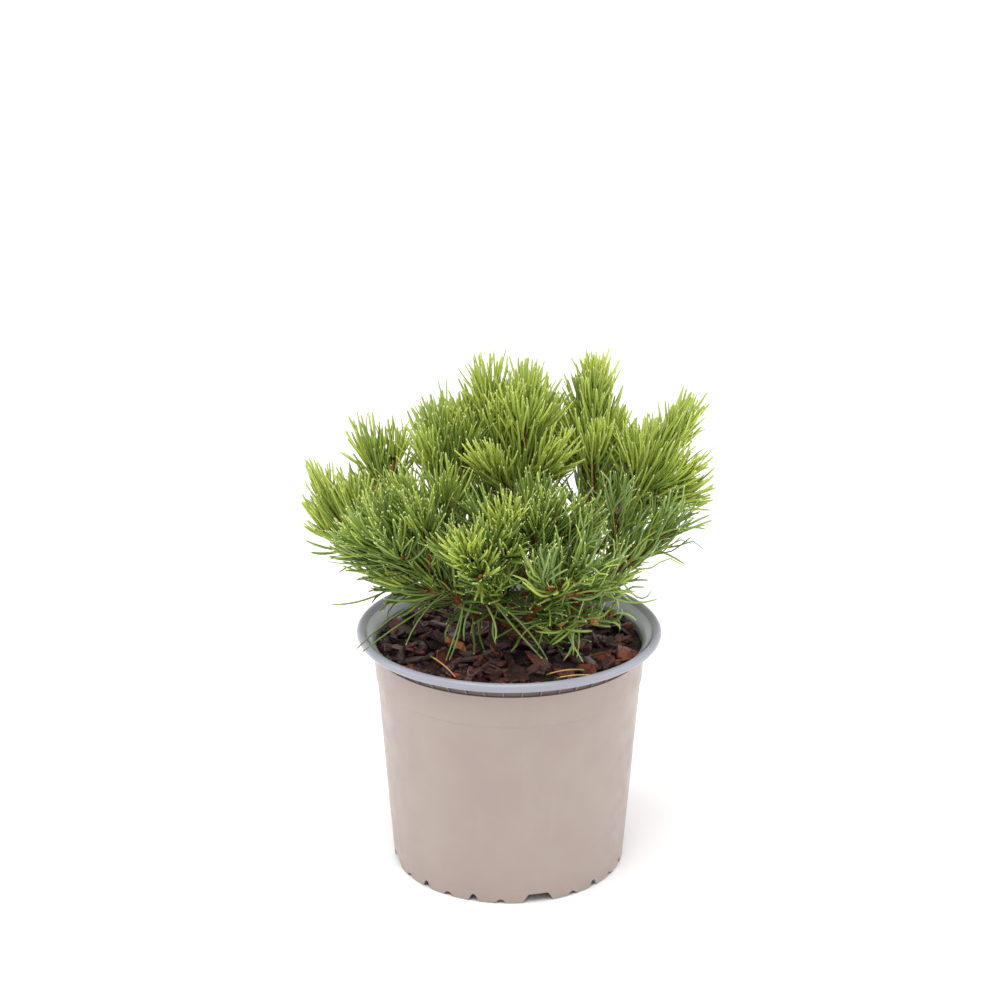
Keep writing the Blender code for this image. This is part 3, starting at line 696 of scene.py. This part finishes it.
# Bough and mass rows, as in the solids: the height its bough leaves the trunk, where the
# bough ends, the tip of its leading shoot, and its whorls of side shoots as (share of the
# leader, number, compass turn of the first, spread, length). Last, how its needles look.
crown = {
    "upper_left": (199, (-8, 12, 250), (-13, 15, 299), [(0.22, 3, 175, 40, 24)], "sunlit"),
    "upper_middle": (204, (4, 2, 226), (11, -5, 302),
                     [(0.2, 2, -130, 60, 36), (0.28, 1, -40, 58, 33), (0.62, 3, 30, 32, 20)], "sunlit"),
    "upper_right": (188, (51, 5, 222), (50, 12, 306), [(0.34, 3, 30, 36, 26)], "crested"),
    "far_right": (174, (76, 3, 236), (102, 10, 277),
                  [(0.0, 1, -10, 70, 32), (0.12, 3, -30, 50, 28)], "sunlit"),
    "low_right": (165, (62, -24, 196), (92, -30, 224),
                  [(-0.5, 1, 60, 50, 30), (0.14, 1, 165, 52, 36), (0.3, 1, 75, 45, 30)], "wavy"),
    "left_of_middle": (193, (-34, 0, 232), (-42, 0, 278), [(0.3, 3, 0, 40, 27)], "green"),
    "upper_far_left": (179, (-72, 14, 228), (-85, 21, 258), [(0.3, 1, 0, 38, 22)], "sparse"),
    "far_left": (171, (-88, -3, 203), (-115, 10, 235), [(0.15, 3, 200, 46, 27)], "sunlit"),
    "front_left_upper": (186, (-38, -28, 216), (-56, -35, 243), [(0.3, 3, 10, 46, 25)], "green"),
    "front_left": (163, (-48, -44, 206), (-78, -58, 229),
                   [(-0.5, 1, 185, 48, 27), (0.05, 2, 175, 46, 36), (0.5, 3, 60, 46, 22)], "swept"),
    "front_middle": (179, (-2, -44, 214), (-2, -62, 242), [(0.2, 3, 30, 46, 25)], "tufted"),
    "front_right": (192, (17, -36, 212), (25, -46, 240), [(0.2, 3, 0, 46, 26)], "upright"),
    "front_low": (170, (-13, -58, 206), (-25, -84, 231), [(0.3, 3, 30, 44, 24)], "tufted"),
    "front_low_right": (159, (27, -56, 199), (38, -74, 214), [(0.1, 3, 90, 50, 27)], "wavy"),
    "lowest_right": (152, (34, -38, 170), (49, -55, 180), [(0.1, 3, 0, 52, 26)], "hanging"),
    "back_right": (181, (58, 38, 220), (84, 52, 247), [(0.25, 3, 70, 46, 28)], "green"),
    "back_middle": (194, (18, 44, 226), (25, 60, 262), [(0.3, 3, 30, 44, 28)], "green"),
    "back_left": (187, (-31, 48, 218), (-37, 66, 251), [(0.3, 3, 0, 38, 27)], "green"),
    "back_low_left": (165, (-62, 52, 188), (-88, 68, 208), [(0.25, 3, 40, 46, 28)], "shade"),
    "back_low_right": (163, (48, 62, 190), (70, 84, 214), [(0.25, 3, 20, 46, 28)], "shade"),
    "back_low": (172, (-6, 66, 196), (-8, 90, 222), [(0.25, 3, 50, 46, 28)], "shade"),
}
boughShare = 0.5
upLift = 0.26


def blend(low, high, share):
    return low + (high - low) * share


def curve(start, startPull, endPull, end, segments):
    share = np.linspace(0.0, 1.0, segments + 1)[:, None]
    rest = 1.0 - share
    near = start * rest ** 3 + startPull * 3 * rest ** 2 * share
    return near + endPull * 3 * rest * share ** 2 + end * share ** 3


def trunkCentre(height):
    share = (height - trunk["bottom"]) / (trunk["top"] - trunk["bottom"])
    x = blend(trunk["foot"][0], trunk["head"][0], share) - trunk["bow"] * math.sin(math.pi * share)
    return np.array([x, blend(trunk["foot"][1], trunk["head"][1], share), height])


def trunkRadius(height):
    rise = height - trunk["bottom"]
    share = rise / (trunk["top"] - trunk["bottom"])
    flare = max(0.0, 1.0 - rise / trunk["flare"]) ** 2
    even = blend(trunk["waistRadius"], trunk["headRadius"], share)
    return even + (trunk["footRadius"] - trunk["waistRadius"]) * flare


def wholePath(row):
    # from just clear of the trunk to where the leading shoot begins
    footHeight, end, tip, _whorls, _look = row
    end = np.array(end, float)
    lead = unit(np.array(tip, float) - end)
    start = trunkCentre(min(footHeight, trunk["top"]))
    if footHeight >= trunk["top"]:
        away = np.array([0.0, 0.0, 1.0])
        start = start + away * clearance
    else:
        away = unit(np.array([end[0] - start[0], end[1] - start[1], 0.0]))
        start = start + away * (trunkRadius(footHeight) + clearance + wood["setOut"])
    reach = np.linalg.norm(end - start)
    return curve(start, start + away * reach * 0.34, end - lead * reach * 0.36, end, wood["fine"])


def pathLengths(path):
    return np.concatenate([[0.0], np.cumsum(np.linalg.norm(np.diff(path, axis=0), axis=1))])


def valuesAt(values, lengths, goals):
    return np.stack([np.interp(goals, lengths, values[:, axis]) for axis in range(3)], -1)


def evenly(path, step):
    # the same path with points at even distances
    lengths = pathLengths(path)
    count = max(3, round(lengths[-1] / step))
    return valuesAt(path, lengths, np.linspace(0.0, lengths[-1], count + 1))


def massStems(row):
    # the leader first, then its side shoots
    _foot, end, tip, whorls, _look = row
    end = np.array(end, float)
    tip = np.array(tip, float)
    lead = unit(tip - end)
    lower = wholePath(row)[round(wood["fine"] * boughShare):]
    leader = np.concatenate([lower[1:], [blend(end, tip, share) for share in (0.25, 0.5, 0.75, 1.0)]])
    stems = [evenly(leader, wood["ringStep"])]
    for share, number, turn, spread, length in whorls:
        if share < 0.0:
            lengths = pathLengths(lower)
            base = valuesAt(lower, lengths, (1.0 + share) * lengths[-1])
        else:
            base = blend(end, tip, share)
        for step in range(number):
            angle = math.radians(turn + 360.0 * step / number)
            away = np.array([math.cos(angle), math.sin(angle), 0.0])
            away = unit(away - lead * away.dot(lead))
            wide = math.radians(spread)
            heading = unit(lead * math.cos(wide) + away * math.sin(wide) + np.array([0, 0, upLift]))
            sideTip = base + heading * length
            bend = base + unit(lead * 0.3 + away * 0.7) * length * 0.3
            stems.append(evenly(curve(base, bend, blend(bend, sideTip, 0.5), sideTip, 16), wood["ringStep"]))
    return stems


def wandered(path, seed):
    # a slight natural waver that leaves both ends where they are
    share = np.linspace(0.0, 1.0, len(path))
    fade = np.sin(np.pi * share)[:, None]
    drift = np.stack([smoothNoise(path * 0.06 + 7.0 * axis, seed + axis) for axis in range(3)], -1)
    return path + drift * fade * wood["wander"]


def scaleRelief(rise, length, seed):
    # overlapping scars and plates that stand out of the bark
    def relief(points):
        around = points * np.array([1.0 / 1.5, 1.0 / 1.5, 1.0 / length])
        plates = 1.0 - np.abs(smoothNoise(around * 1.3, seed)) * 1.8
        grit = smoothNoise(points * 1.6, seed + 1)
        return rise * (plates * 0.8 + grit * 0.35)
    return relief


trunkFinish = barkFinish("trunkBark", (92, 66, 50), (68, 47, 37), (34, 23, 18), 300.0, 1.0, 0.8)
boughFinish = barkFinish("boughBark", (136, 84, 48), (94, 56, 36), (46, 27, 18), 520.0, 0.6, 0.7)
twigFinish = barkFinish("twigBark", (190, 108, 54), (134, 74, 42), (68, 37, 23), 700.0, 0.4, 0.65)


def trunkPart():
    heights = np.linspace(trunk["bottom"], trunk["top"], 90)
    path = np.array([trunkCentre(height) for height in heights])
    radii = np.array([trunkRadius(height) for height in heights])
    return tubePart(path, radii, 48, scaleRelief(0.55, 4.0, 40))


def boughParts():
    parts = []
    for index, row in enumerate(crown.values()):
        path = wholePath(row)[:round(wood["fine"] * boughShare) + 1]
        path = evenly(path, wood["ringStep"])
        radii = np.linspace(*wood["boughRadius"], len(path))
        parts.append(tubePart(path, radii, 16, scaleRelief(0.3, 2.4, 60 + index)))
    return parts


def twigParts(stems, seed):
    parts = []
    for index, path in enumerate(stems):
        low, high = wood["leaderRadius"] if index == 0 else wood["sideRadius"]
        radii = np.linspace(low, high, len(path))
        parts.append(tubePart(path, radii, 10, scaleRelief(0.22, 1.8, seed + index)))
    return parts


def alongPath(path, goals):
    # points, directions and two cross axes at distances along a path
    lengths = pathLengths(path)
    base = valuesAt(path, lengths, goals)
    along = unit(valuesAt(unit(np.gradient(path, axis=0)), lengths, goals))
    helper = np.where(np.abs(along[:, 2:]) < 0.9, [[0.0, 0.0, 1.0]], [[1.0, 0.0, 0.0]])
    first = unit(np.cross(along, helper))
    return base, along, first, np.cross(along, first)


def repeated(points, template, slots):
    # the same few faces for each of many small shapes
    template = outward(points[0], template)
    count = len(points)
    faces = template[None] + points.shape[1] * np.arange(count)[:, None, None]
    slots = np.broadcast_to(slots, (count, len(template)))
    return points.reshape(-1, 3), faces.reshape(-1, 3), slots.ravel()


bract = {"step": 0.5, "length": 2.6, "width": 1.5, "rise": 0.5, "lean": 0.34, "seed": 5}
bud = {"length": 7.5, "width": 1.75, "sideLength": 5.0, "sideWidth": 1.3}
goldenAngle = 137.5


def bractPart(path, radii, rng):
    # small pointed scales lying along a shoot
    goals = np.arange(1.0, pathLengths(path)[-1], bract["step"])
    base, along, first, second = alongPath(path, goals)
    count = len(goals)
    turn = rng.uniform(0, 360) + goldenAngle * np.arange(count) + rng.uniform(-20, 20, count)
    turn = np.radians(turn)[:, None]
    away = first * np.cos(turn) + second * np.sin(turn)
    across = np.cross(along, away)
    radius = np.interp(goals, [0.0, goals[-1]], radii)[:, None]
    length = bract["length"] * rng.uniform(0.6, 1.25, count)[:, None]
    foot = base + away * radius * 0.85
    half = across * bract["width"] / 2
    ridge = foot + along * length * 0.4 + away * bract["rise"]
    point = foot + along * length + away * length * bract["lean"]
    points = np.stack([foot - half, foot + half, ridge, point], axis=1)
    return repeated(points, np.array([[0, 1, 2], [0, 3, 1], [1, 3, 2], [0, 2, 3]]), 0)


def budPart(start, along, length, width, seed):
    line = start + along * (np.array([-0.1, 0.1, 0.28, 0.46, 0.64, 0.8, 0.92, 1.0]) * length)[:, None]
    radii = np.array([0.6, 0.85, 1.0, 0.98, 0.82, 0.56, 0.28, 0.05]) * width
    return tubePart(line, radii, 9, scaleRelief(0.12, 1.2, seed))


def budParts(path, length, width, number, rng, seed):
    # one bud at the shoot's tip with smaller ones round its foot
    along = unit(path[-1] - path[-3])
    _base, _along, first, second = alongPath(path, [pathLengths(path)[-1]])
    parts = [budPart(path[-1], along, length, width, seed)]
    for step in range(number):
        angle = math.tau * (step / number) + rng.uniform(0, 1)
        away = first[0] * math.cos(angle) + second[0] * math.sin(angle)
        lean = unit(along + away * 0.45)
        start = path[-1] - along * 0.5 + away * width * 0.6
        parts.append(budPart(start, lean, length * rng.uniform(0.5, 0.7), width * 0.62, seed + step + 1))
    return parts


budFinish = barkFinish("budScale", (178, 112, 66), (206, 158, 118), (120, 64, 38), 900.0, 0.3, 0.5)
bractFinish = barkFinish("bractScale", (196, 118, 62), (138, 76, 45), (76, 41, 27), 600.0, 0.2, 0.6)

stems = {}
for seed, (name, row) in enumerate(crown.items()):
    stems[name] = [wandered(path, 11 * seed + k) for k, path in enumerate(massStems(row))]


def addWood():
    rng = np.random.default_rng(bract["seed"])
    twigs, bracts, buds = [], [], []
    for seed, name in enumerate(crown):
        twigs += twigParts(stems[name], 200 + 10 * seed)
        for index, path in enumerate(stems[name]):
            radii = wood["leaderRadius"] if index == 0 else wood["sideRadius"]
            bracts.append(bractPart(path, radii, rng))
            if index == 0:
                buds += budParts(path, bud["length"], bud["width"], 4, rng, 400 + 20 * seed)
            else:
                buds += budParts(path, bud["sideLength"], bud["sideWidth"], 2, rng, 410 + 20 * seed)
    makePiece("trunkWood", [trunkPart()], [trunkFinish], ["trunk"])
    makePiece("boughWood", boughParts(), [boughFinish], ["bough_" + name for name in crown])
    makePiece("twigWood", twigs, [twigFinish], masses)
    makePiece("twigBracts", bracts, [bractFinish], masses, smooth=False)
    makePiece("shootBuds", buds, [budFinish], masses)


masses = ["foliage_" + name for name in crown]
addWood()
print("wood made")


# Needles, in pairs with a sheath, along the last stretch of each shoot
needle = {
    "length": 38.0, "lengthSpread": 3.0, "width": 1.7, "widthSpread": 0.15, "strawWidth": 1.15,
    "leaderRun": 80.0, "sideShare": 0.88, "tipShare": 0.84, "crowding": 0.66, "bareAbove": 172.0,
    "underRun": (0.15, 0.92, 0.5), "youngStep": 0.62, "youngAngles": (56, 11),
    "pairSpread": 5.0, "sheath": 3.2, "sheathRadius": 0.8, "seed": 77,
    "halfWidth": 127.0, "halfDepth": 110.0, "top": 331.0, "floor": 149.5,
    "rimRadius": 76.0, "rimHeight": 159.3,
}

# For each look: distance between pairs, angle from the shoot at the foot and at the tip of
# the needled stretch, how far needles turn to the shoot's line, pull upwards, waviness, how
# far a tip curls round in radians, needle length as a share of the usual, length of young
# growth at the leader's tip, its needles' share of the usual length, the share of a side
# shoot that is young growth, and the share of each green in older and in young growth
lookKeys = (
    "step", "low", "tip", "turn", "up", "wave", "curl", "size", "young", "youngSize", "sideYoung",
    "greens", "youngGreens",
)
# The greens lean lighter in the top and young growth and darker in the shade and under looks: partly the
# needles' own paler young and darker old colour, partly painted light and painted shade.
lookRows = {
    "crested": (0.85, 38, 27, 0.92, 0.3, 0.05, 0.3, 1.1, 19, 0.64, 0.4, (1, 5, 4, 0, 0), (6, 4, 0, 0, 0)),
    "sunlit": (1.05, 37, 20, 0.88, 0.5, 0.05, 0.35, 1.0, 16, 0.8, 0.4, (1, 8, 2, 0, 0), (3, 7, 0, 0, 0)),
    "sparse": (1.35, 37, 21, 0.84, 0.45, 0.05, 0.4, 0.95, 12, 0.82, 0.4, (1, 5, 4, 0, 0), (3, 6, 2, 0, 0)),
    "green": (1.15, 38, 20, 0.86, 0.6, 0.06, 0.4, 1.0, 12, 0.85, 0.4, (0, 4, 6, 1, 0), (0, 6, 4, 0, 0)),
    "swept": (1.15, 38, 20, 0.9, 0.55, 0.06, 0.5, 1.08, 12, 0.85, 0.3, (0, 0, 5, 6, 0), (0, 3, 7, 0, 0)),
    "tufted": (0.95, 50, 30, 0.7, 0.4, 0.08, 0.4, 0.74, 27, 0.74, 0.0, (0, 2, 6, 3, 0), (5, 6, 1, 0, 0)),
    "shade": (1.3, 44, 14, 0.75, 0.35, 0.08, 0.4, 1.0, 0, 1.0, 0.0, (0, 1, 5, 4, 0), (0, 4, 6, 0, 0)),
    "upright": (1.2, 34, 16, 0.85, 0.7, 0.06, 0.4, 1.0, 12, 0.8, 0.3, (0, 1, 6, 4, 0), (0, 2, 7, 1, 0)),
    "wavy": (1.5, 44, 14, 0.95, 0.9, 0.22, 0.8, 1.1, 0, 1.0, 0.0, (0, 1, 5, 3, 3), (0, 4, 6, 0, 0)),
    "hanging": (3.4, 56, 30, 0.6, 0.3, 0.2, 2.6, 0.74, 0, 1.0, 0.0, (0, 1, 5, 2, 3), (0, 4, 6, 0, 0)),
    "under": (2.0, 62, 42, 0.6, 0.1, 0.15, 1.1, 0.7, 0, 1.0, 0.0, (0, 0, 2, 8, 0), (0, 0, 1, 0, 0)),
}
needleLooks = {name: dict(zip(lookKeys, row)) for name, row in lookRows.items()}
greenCount = 5
tipSlot, footSlot, strawSlot, deadSlot = range(5, 9)
needleFinishes = [
    needleFinish("limeNeedle", (200, 213, 97), (188, 204, 88)),
    needleFinish("freshNeedle", (180, 198, 90), (166, 187, 80)),
    needleFinish("leafNeedle", (144, 168, 75), (126, 151, 64)),
    needleFinish("deepNeedle", (106, 130, 55), (91, 114, 46)),
    needleFinish("glaucousNeedle", (148, 172, 102), (128, 155, 84)),
    needleFinish("needleTip", (214, 220, 152), (200, 210, 128)),
    needleFinish("needleFoot", (142, 150, 80), (120, 128, 64)),
    needleFinish("strawNeedle", (228, 190, 122), (204, 152, 90), 0.55),
    needleFinish("deadNeedle", (118, 54, 40), (92, 40, 32), 0.55),
]
sheathFinish = barkFinish("sheath", (120, 76, 48), (84, 48, 34), (50, 28, 20), 900.0, 0.2, 0.6)
stations = np.array([0.0, 0.1, 0.27, 0.44, 0.61, 0.78, 0.955, 1.0])
girths = np.array([0.72, 0.95, 1.0, 1.0, 0.97, 0.9, 0.6])


def insideCrown(points):
    # whether all of each needle is inside the crown's limits and clear of the rim
    x, y, z = points[..., 0], points[..., 1], points[..., 2]
    good = (np.abs(x) <= needle["halfWidth"]) & (np.abs(y) <= needle["halfDepth"])
    good &= (z <= needle["top"]) & (z >= needle["floor"])
    good &= ~((np.hypot(x, y) > needle["rimRadius"]) & (z < needle["rimHeight"]))
    return good.all(axis=-1)


def needlePaths(base, heading, goal, swirl, length, turn, wave, curl):
    # centre lines that start along heading, turn towards goal and curl to one side
    places = [base]
    for start, end in zip(stations[:-1], stations[1:]):
        middle = (start + end) / 2
        share = (turn * middle ** 0.7)[:, None]
        way = unit(heading * (1.0 - share) + goal * share)
        bend = (wave * math.sin(2.6 * math.pi * middle) + curl * middle)[:, None]
        way = unit(way * np.cos(bend) + swirl * np.sin(bend))
        places.append(places[-1] + way * (length * (end - start))[:, None])
    return np.stack(places, axis=1)


def needleMesh(paths, side, width, greens):
    # three-sided needles, flat on one face, with a pale tip
    count = len(paths)
    rings = len(girths)
    end = 3 * rings
    along = unit(np.gradient(paths, axis=1))
    flat = unit(np.cross(along, side[:, None]))
    across = np.cross(flat, along)
    corners = np.array([(-0.5, -0.14), (0.5, -0.14), (0.0, 0.36)])
    size = (width[:, None] * girths[None, :])[..., None, None]
    skin = across[:, :rings, None] * corners[:, :1] + flat[:, :rings, None] * corners[:, 1:]
    skin = (paths[:, :rings, None] + skin * size).reshape(count, end, 3)
    points = np.concatenate([skin, paths[:, rings:]], axis=1)
    tipFaces = [[end - 3, end - 2, end], [end - 2, end - 1, end], [end - 1, end - 3, end]]
    template = np.concatenate([gridFaces(rings, 3), [[2, 1, 0]], tipFaces])
    slots = np.repeat(greens[:, None], len(template), axis=1)
    slots[:, template.min(axis=1) < 3] = footSlot
    slots[:, template.max(axis=1) == end] = tipSlot
    return repeated(points, template, slots)


def sheathMesh(base, heading, side):
    # the short brown sleeve round each pair
    up = unit(np.cross(heading, side))
    across = np.cross(up, heading)
    rings = []
    for share, girth in ((0.0, 1.0), (0.7, 1.1), (1.0, 0.7)):
        for step in range(4):
            angle = math.pi / 2 * step
            offset = across * math.cos(angle) + up * math.sin(angle)
            rings.append(base + heading * needle["sheath"] * share + offset * needle["sheathRadius"] * girth)
    points = np.stack(rings, axis=1)
    template = np.concatenate([gridFaces(3, 4), [[0, 2, 1], [0, 3, 2], [8, 9, 10], [8, 10, 11]]])
    return repeated(points, template, 0)


def needlesAlong(path, low, high, share, young, look, rng):
    # pairs between two distances along a shoot, from wide at the foot to close at the tip
    step = look["step"] * (needle["youngStep"] if young else 1.0)
    count = max(2, int((high - low) / step))
    rise = np.clip((np.arange(count) + rng.uniform(0, 0.8, count)) / count, 0.0, 1.0)
    base, along, first, second = alongPath(path, low + (high - low) * rise ** needle["crowding"])
    turn = np.radians(rng.uniform(0, 360) + goldenAngle * np.arange(count) + rng.uniform(-12, 12, count))
    away = first * np.cos(turn)[:, None] + second * np.sin(turn)[:, None]
    widest, closest = needle["youngAngles"] if young else (look["low"], look["tip"])
    angle = blend(widest, closest, rise) + rng.normal(0, 4.0, count)
    if look["up"] > 0:
        # those that start below a leaning shoot lie closer to it
        angle = angle * (1.0 - 0.4 * np.maximum(0.0, -away[:, 2]))
    angle = np.radians(np.clip(angle, 3.0, 85.0))[:, None]
    heading = along * np.cos(angle) + away * np.sin(angle)
    goal = unit(along + np.array([0, 0, look["up"]]) + away * 0.12)
    reach = share * needle["length"] + rng.normal(0, 1, count) * needle["lengthSpread"]
    reach = reach * blend(1.0, needle["tipShare"], np.clip((rise - 0.6) / 0.4, 0, 1))
    weights = np.array(look["youngGreens"] if young else look["greens"], float)
    greens = rng.choice(greenCount, count, p=weights / weights.sum())
    return base + away * 0.9, heading, goal, away, reach, greens


def needlesOnShoot(path, index, look, rng):
    # older needles, then young growth on the last stretch
    total = pathLengths(path)[-1]
    if index > 0:
        low = 3.0
        young = total * look["sideYoung"]
        size = needle["sideShare"] * look["size"]
        youngSize = needle["sideShare"] * max(look["youngSize"], 0.6)
    else:
        low = max(4.0, total - needle["leaderRun"])
        young = look["young"]
        size = look["size"]
        youngSize = look["youngSize"]
    groups = [needlesAlong(path, low, total - young, size, False, look, rng)]
    if young:
        groups.append(needlesAlong(path, total - young, total, youngSize, True, look, rng))
    return groups


def needlesUnderBough(row, rng):
    # sparse needles along the outer stretch of a bough, mostly deep green: the needles are real, their
    # darkness is painted shade under the crown
    path = evenly(wholePath(row), wood["ringStep"])
    total = pathLengths(path)[-1]
    look = needleLooks["under"]
    low, high, highBare = (total * share for share in needle["underRun"])
    high = high if row[0] < needle["bareAbove"] else highBare
    return needlesAlong(path, low, high, look["size"], False, look, rng)


def pairNeedles(base, heading, goal, away, reach, greens, look, rng):
    # two needles out of each sheath, a few degrees apart
    side = unit(np.cross(heading, rng.normal(0, 1, base.shape)))
    needles = []
    for sign in (-1.0, 1.0):
        wide = np.radians(needle["pairSpread"] + rng.uniform(-2.5, 4.5, len(base)))[:, None] * sign
        way = unit(heading + side * np.tan(wide))
        aim = unit(goal + side * np.tan(wide))
        swirl = unit(np.cross(heading, side)) * sign
        wave = look["wave"] * rng.normal(0, 1, len(base))
        curl = look["curl"] * rng.uniform(0.3, 1.3, len(base)) * rng.choice([-1.0, 1.0], len(base))
        turn = look["turn"] + rng.uniform(-0.1, 0.1, len(base))
        length = reach + rng.normal(0, 1.2, len(base))
        paths = needlePaths(base, way, aim, swirl, length, turn, wave, curl)
        width = needle["width"] + rng.normal(0, 1, len(base)) * needle["widthSpread"]
        good = insideCrown(paths)
        needles.append((paths[good], side[good], width[good], greens[good]))
    return needles, side


needleRegions = {
    "needlesTop": ("upper_left", "upper_middle", "upper_right"),
    "needlesLeft": ("left_of_middle", "upper_far_left", "far_left", "front_left_upper", "front_left"),
    "needlesRight": ("far_right", "low_right", "front_low_right", "lowest_right"),
    "needlesFront": ("front_middle", "front_right", "front_low"),
    "needlesBack": ("back_right", "back_middle", "back_left"),
    "needlesBackLow": ("back_low_left", "back_low_right", "back_low"),
}


def growNeedles():
    rng = np.random.default_rng(needle["seed"])
    sheaths = []
    for regionName, names in needleRegions.items():
        parts = []
        for name in names:
            look = needleLooks[crown[name][4]]
            groups = [(needlesUnderBough(crown[name], rng), needleLooks["under"])]
            for index, path in enumerate(stems[name]):
                groups += [(group, look) for group in needlesOnShoot(path, index, look, rng)]
            for group, groupLook in groups:
                pairs, side = pairNeedles(*group, groupLook, rng)
                for paths, sides, width, colours in pairs:
                    if len(paths):
                        parts.append(needleMesh(paths, sides, width, colours))
                base, heading, _goal, away = group[:4]
                sheaths.append(sheathMesh(base - away * 0.2, heading, side))
        nodes = ["foliage_" + name for name in names]
        makePiece(regionName, parts, needleFinishes, nodes)
    makePiece("needleSheaths", sheaths, [sheathFinish], masses)


growNeedles()
print("needles grown")

# Loose and long needles: start, end, how far the middle is moved, and colour
leafSlot, deepSlot, glaucousSlot = 2, 3, 4
looseNeedles = [
    ((-78, -40, 191), (-108, -45, 186), (0, 0, -2), leafSlot),
    ((-33, -45, 196), (-94, -50, 157), (-2, -2, 6), deepSlot),
    ((-33, -46, 195), (-90, -55, 158), (-2, -4, 2), deepSlot),
    ((-38, -52, 197), (-62, -62, 166), (-2, -2, 3), deepSlot),
    ((-27, -56, 191), (-38, -66, 158), (1, -2, 2), deepSlot),
    ((-28, -57, 190), (-36, -68, 159), (2, -2, 1), deepSlot),
    ((-10, -58, 194), (23, -66, 158), (2, -3, 4), deepSlot),
    ((-9, -59, 193), (20, -68, 160), (-1, -3, 1), deepSlot),
    ((-22, -58, 192), (-27, -66, 171), (-2, -3, 1), deepSlot),
    ((-14, -58, 191), (-9, -68, 171), (3, -3, 0), leafSlot),
    ((-6, -56, 189), (-8, -64, 168), (-3, -3, 0), deepSlot),
    ((54, -40, 193), (90, -42, 189), (0, 0, -5), leafSlot),
    ((66, -36, 200), (86, -38, 194), (2, -2, -9), glaucousSlot),
    ((60, -34, 198), (80, -38, 186), (2, -4, -5), glaucousSlot),
    ((80, -20, 214), (107, -22, 203), (0, 0, 2), leafSlot),
    ((34, -40, 172), (40, -66, 160), (4, -2, 8), glaucousSlot),
    ((35, -40, 171), (44, -68, 158), (-4, -4, 6), glaucousSlot),
    ((-48, -37, 149), (-32, -69, 149), (0, 0, 1.5), strawSlot),
    ((22, -66, 149.5), (45, -60, 150), (0, 1, 1), strawSlot),
    ((28, -70, 149), (50, -68, 150), (0, 0, 1), strawSlot),
    ((-10, 0, 305), (-5, 1, 287), (0, 0, 0), deadSlot),
    ((-85, -5, 249), (-76, -5, 241), (0, 0, 0), strawSlot),
]


def addLooseNeedles():
    start = np.array([row[0] for row in looseNeedles], float)[:, None]
    end = np.array([row[1] for row in looseNeedles], float)[:, None]
    pull = (start + end) / 2 + np.array([row[2] for row in looseNeedles], float)[:, None] * 2.0
    share = stations[None, :, None]
    paths = start * (1 - share) ** 2 + pull * 2 * share * (1 - share) + end * share ** 2
    side = np.tile([[0.3, -0.4, 0.87]], (len(paths), 1))
    colours = np.array([row[3] for row in looseNeedles])
    width = np.where(colours == strawSlot, needle["strawWidth"], needle["width"])
    part = needleMesh(paths, side, width, colours)
    makePiece("looseNeedles", [part], needleFinishes, masses)


addLooseNeedles()


# Stage and lights
stage = {
    "radius": 40.0, "sides": 96, "drop": 0.0002, "colour": (246, 245, 245), "otherColour": (250, 249, 249),
    "roughness": 0.8, "world": (255, 255, 255), "worldStrength": 0.85, "aim": (0.0, 0.0, 0.16),
}
lamps = {
    "leftSoftbox": {"place": (-1.3, -0.1, 0.7), "size": 0.9, "power": 3.8},
    "rightSoftbox": {"place": (1.3, -0.1, 0.7), "size": 0.9, "power": 4.1},
}
overhead = {"place": (-0.2, -0.5, 2.0), "angle": 50.0, "strength": 2.1}


def addStage():
    ring = ringPoints(stage["radius"], 0.0, stage["sides"])
    mesh = bpy.data.meshes.new("floor")
    mesh.from_pydata(ring.tolist(), [], [list(range(stage["sides"]))])
    finish = Finish("paleFloor")
    finish.base(finish.tint(stage["colour"], stage["otherColour"], 3.0, 0.5))
    finish.feed(finish.inputs["Roughness"], stage["roughness"])
    mesh.materials.append(finish.material)
    floor = addItem("floor", mesh)
    floor.location.z = -stage["drop"]


def addLamps():
    world = bpy.data.worlds.new("studio")
    world.use_nodes = True
    background = world.node_tree.nodes["Background"]
    background.inputs["Color"].default_value = paint(*stage["world"])
    # full white where it is seen, a little less as light
    nodes = Nodes(world.node_tree)
    seen = nodes.add("ShaderNodeLightPath").outputs["Is Camera Ray"]
    lift = nodes.calc("MULTIPLY", seen, 1.0 - stage["worldStrength"])
    nodes.feed(background.inputs["Strength"], nodes.calc("ADD", lift, stage["worldStrength"]))
    bpy.context.scene.world = world
    for name, lamp in lamps.items():
        data = bpy.data.lights.new(name, "AREA")
        data.size = lamp["size"]
        data.energy = lamp["power"]
        placeLamp(data, lamp["place"])
    data = bpy.data.lights.new("overhead", "SUN")
    data.angle = math.radians(overhead["angle"])
    data.energy = overhead["strength"]
    placeLamp(data, overhead["place"])


def placeLamp(data, place):
    item = addItem(data.name, data)
    item.location = place
    aim = Vector(stage["aim"]) - item.location
    item.rotation_euler = aim.to_track_quat("-Z", "Y").to_euler()


addStage()
addLamps()
bpy.context.scene.view_settings.view_transform = "Standard"
